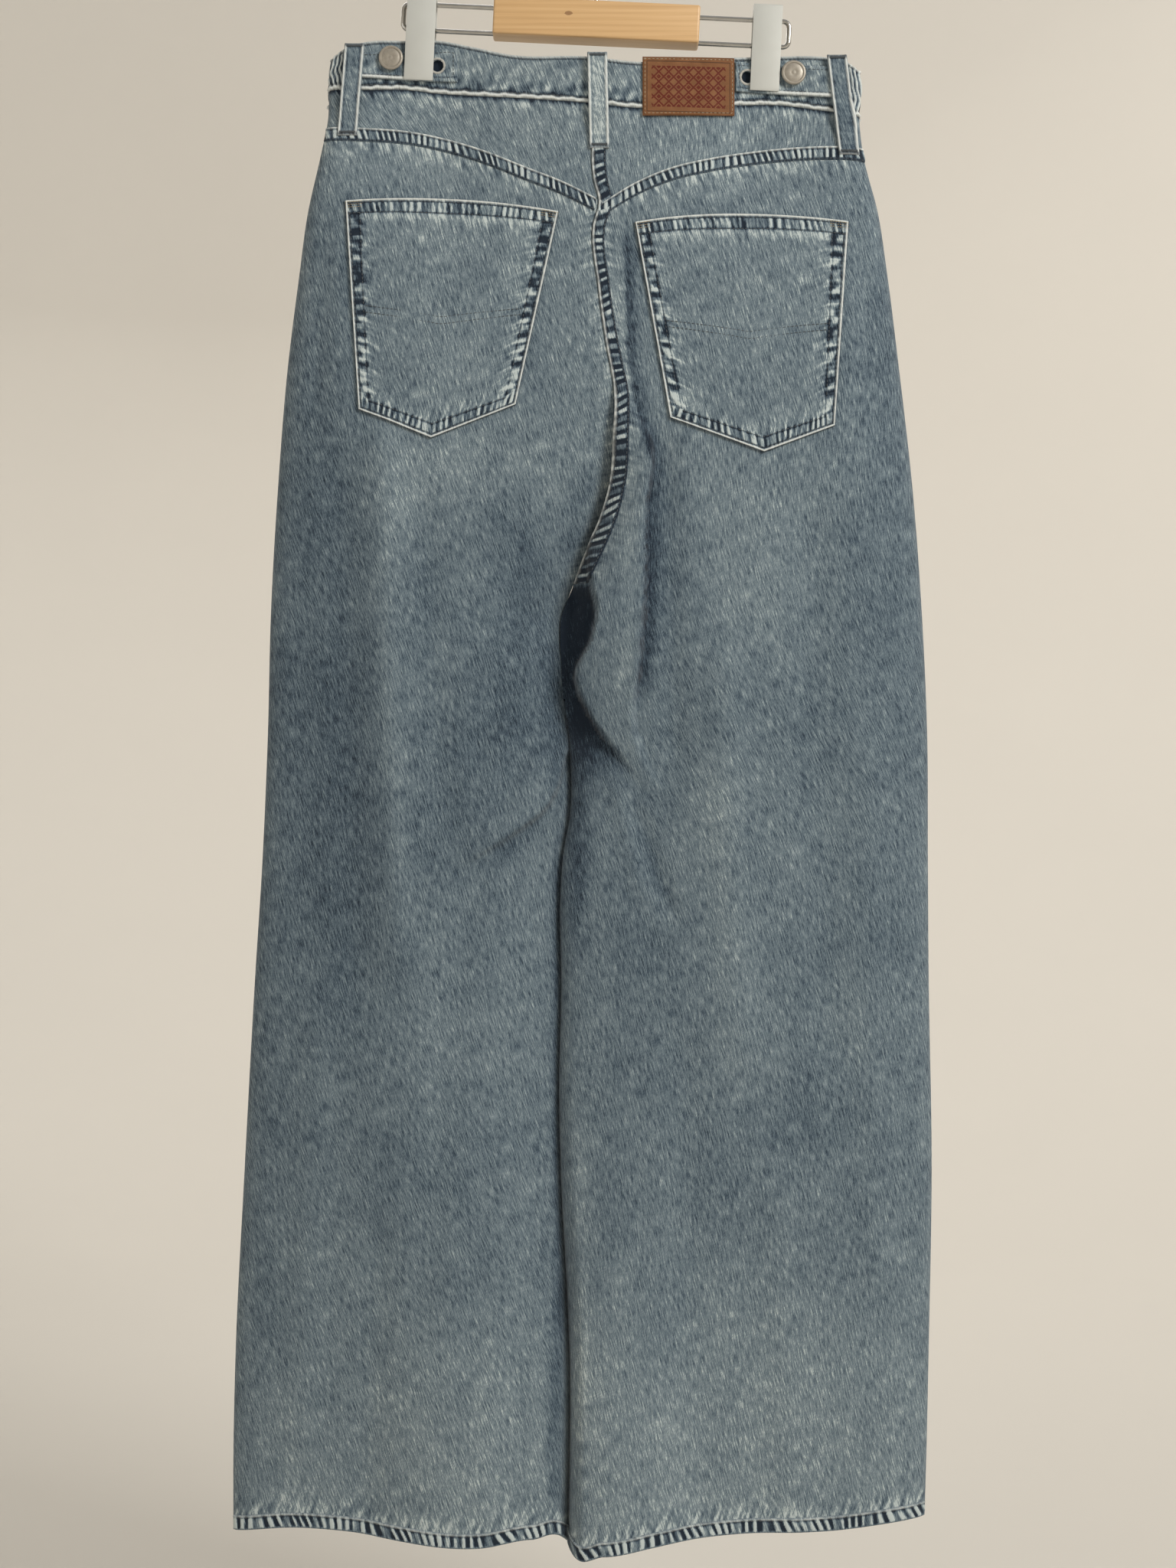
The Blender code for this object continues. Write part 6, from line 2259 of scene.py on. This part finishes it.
            self.shop.keep(obj, "clip_plate", f"clip_{word}")

    def build(self) -> None:
        """Builds the whole hanger."""
        self.build_bar()
        self.build_wires()
        self.build_hook()
        self.build_clips()


# ---------------------------------------------------------------- the studio
@dataclass
class Studio:
    """A pale round backdrop, soft lights and the camera."""

    eye: tuple[float, float, float] = (-0.0059, -1.6, -0.6298)
    field_of_view: float = math.radians(38.13)
    floor: float = -1.32
    flat_to: float = 1.7
    bend: float = 1.7
    wall_top: float = 2.6
    middle: tuple[float, float, float] = (0.0, 0.0, -0.62)
    warm: Colour = (1.0, 0.985, 0.955)
    cool: Colour = (0.96, 0.98, 1.0)
    air: float = 0.44  # the strength of the light from all round

    def build_backdrop(self) -> None:
        """A floor that bends up into a wall all round, so every view has the same plain ground."""
        turn = np.linspace(-math.pi / 2, 0, 12)
        profile = [(0.0, self.floor), (self.flat_to, self.floor)]
        profile += [(self.flat_to + self.bend * math.cos(a), self.floor + self.bend * (1 + math.sin(a)))
                    for a in turn[1:]]
        profile.append((self.flat_to + self.bend, self.wall_top))
        mesh = bmesh.new()
        points = [mesh.verts.new((r, 0, z)) for r, z in profile]
        for a, b in zip(points, points[1:]):
            mesh.edges.new((a, b))
        bmesh.ops.spin(mesh, geom=mesh.verts[:] + mesh.edges[:], axis=(0, 0, 1), cent=(0, 0, 0),
                       steps=96, angle=math.tau)
        bmesh.ops.remove_doubles(mesh, verts=mesh.verts, dist=1e-4)
        backdrop = PlainFinish("backdrop", (0.655, 0.622, 0.568)).make()
        mesh_object("backdrop", mesh, backdrop, 80)

    def lamp(self, name: str, place: Sequence[float], target: Sequence[float], size: float, power: float,
             colour: Colour) -> None:
        """A soft square light.

        Args:
            name: its name.
            place: where it stands.
            target: what it is aimed at.
            size: its width.
            power: its power in watts.
            colour: its colour.
        """
        light = bpy.data.lights.new(name, "AREA")
        light.size, light.energy, light.color = size, power, colour
        obj = add_to_scene(bpy.data.objects.new(name, light))
        obj.location = place
        obj.rotation_euler = (Vector(target) - Vector(place)).to_track_quat("-Z", "Y").to_euler()

    def build(self) -> None:
        """Builds the studio."""
        self.build_backdrop()
        self.lamp("key", (1.9, -2.0, 0.9), self.middle, 1.1, 65.0, self.warm)
        self.lamp("fill", (-2.1, -1.8, -0.2), self.middle, 1.8, 8.0, self.cool)
        self.lamp("wall", (1.7, 0.7, 1.1), (0.4, 3.3, 1.0), 1.6, 36.0, self.warm)
        self.lamp("front fill", (-0.7, 2.3, 1.5), self.middle, 1.6, 26.0, self.warm)
        world = bpy.data.worlds.new("studio")
        world.use_nodes = True
        sky = world.node_tree.nodes["Background"]
        sky.inputs["Color"].default_value = (*self.warm, 1)
        sky.inputs["Strength"].default_value = self.air
        bpy.context.scene.world = world
        camera = bpy.data.cameras.new("camera")
        camera.sensor_fit = "VERTICAL"
        camera.sensor_height = 36.0
        camera.lens = camera.sensor_height / 2 / math.tan(self.field_of_view / 2)
        obj = add_to_scene(bpy.data.objects.new("camera", camera))
        obj.location = self.eye
        obj.rotation_euler = (math.pi / 2, 0, 0)
        bpy.context.scene.camera = obj
        bpy.context.scene.view_settings.view_transform = "Standard"


def finishes() -> dict[str, bpy.types.Material]:
    """Makes every finish once.

    Returns:
        The finishes under the names that the pieces know them by.
    """
    patch_width, patch_height = FourSided.straight(Patch.corners).size()
    makers = {
        "denim": DenimFinish("washed_denim"),
        "worn_denim": DenimFinish("worn_denim", tone=0.50, cloud=0.36),
        "thread": ThreadFinish("grey_thread", (0.095, 0.108, 0.118), (0.040, 0.050, 0.060)),
        "pale_thread": ThreadFinish("pale_thread", (0.600, 0.590, 0.540), (0.380, 0.375, 0.350)),
        "tan_thread": ThreadFinish("tan_thread", (0.400, 0.330, 0.215), (0.215, 0.175, 0.115)),
        "leather": LeatherFinish("patch_leather", (patch_width, patch_height)),
        "button_metal": MetalFinish("aged_button_metal", (0.42, 0.38, 0.32), (0.27, 0.25, 0.215), 0.55, 0.50,
                                    500.0),
        "steel": MetalFinish("steel_wire", (0.62, 0.61, 0.58), (0.42, 0.41, 0.39), 1.0, 0.22, 120.0),
        "plate": MetalFinish("clip_plate", (0.53, 0.54, 0.51), (0.47, 0.475, 0.445), 0.10, 0.62, 60.0),
        "wood": WoodFinish("pale_wood"),
    }
    return {name: maker.make() for name, maker in makers.items()}


def main() -> None:
    """Loads the frame, dresses every piece and builds the studio round it."""
    logging.basicConfig(level=logging.INFO, format="%(name)s: %(message)s")
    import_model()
    shop = Workshop(ClothSurface(), finishes(), StitchTree())
    for assembly in (Legs(shop), Waist(shop), BeltLoops(shop), BackPockets(shop), Patch(shop),
                     FrontDetails(shop), Buttons(shop), Hanger(shop)):
        assembly.build()
    Studio().build()
    log.info("%d pieces", len(shop.made))


if __name__ == "__main__":
    main()
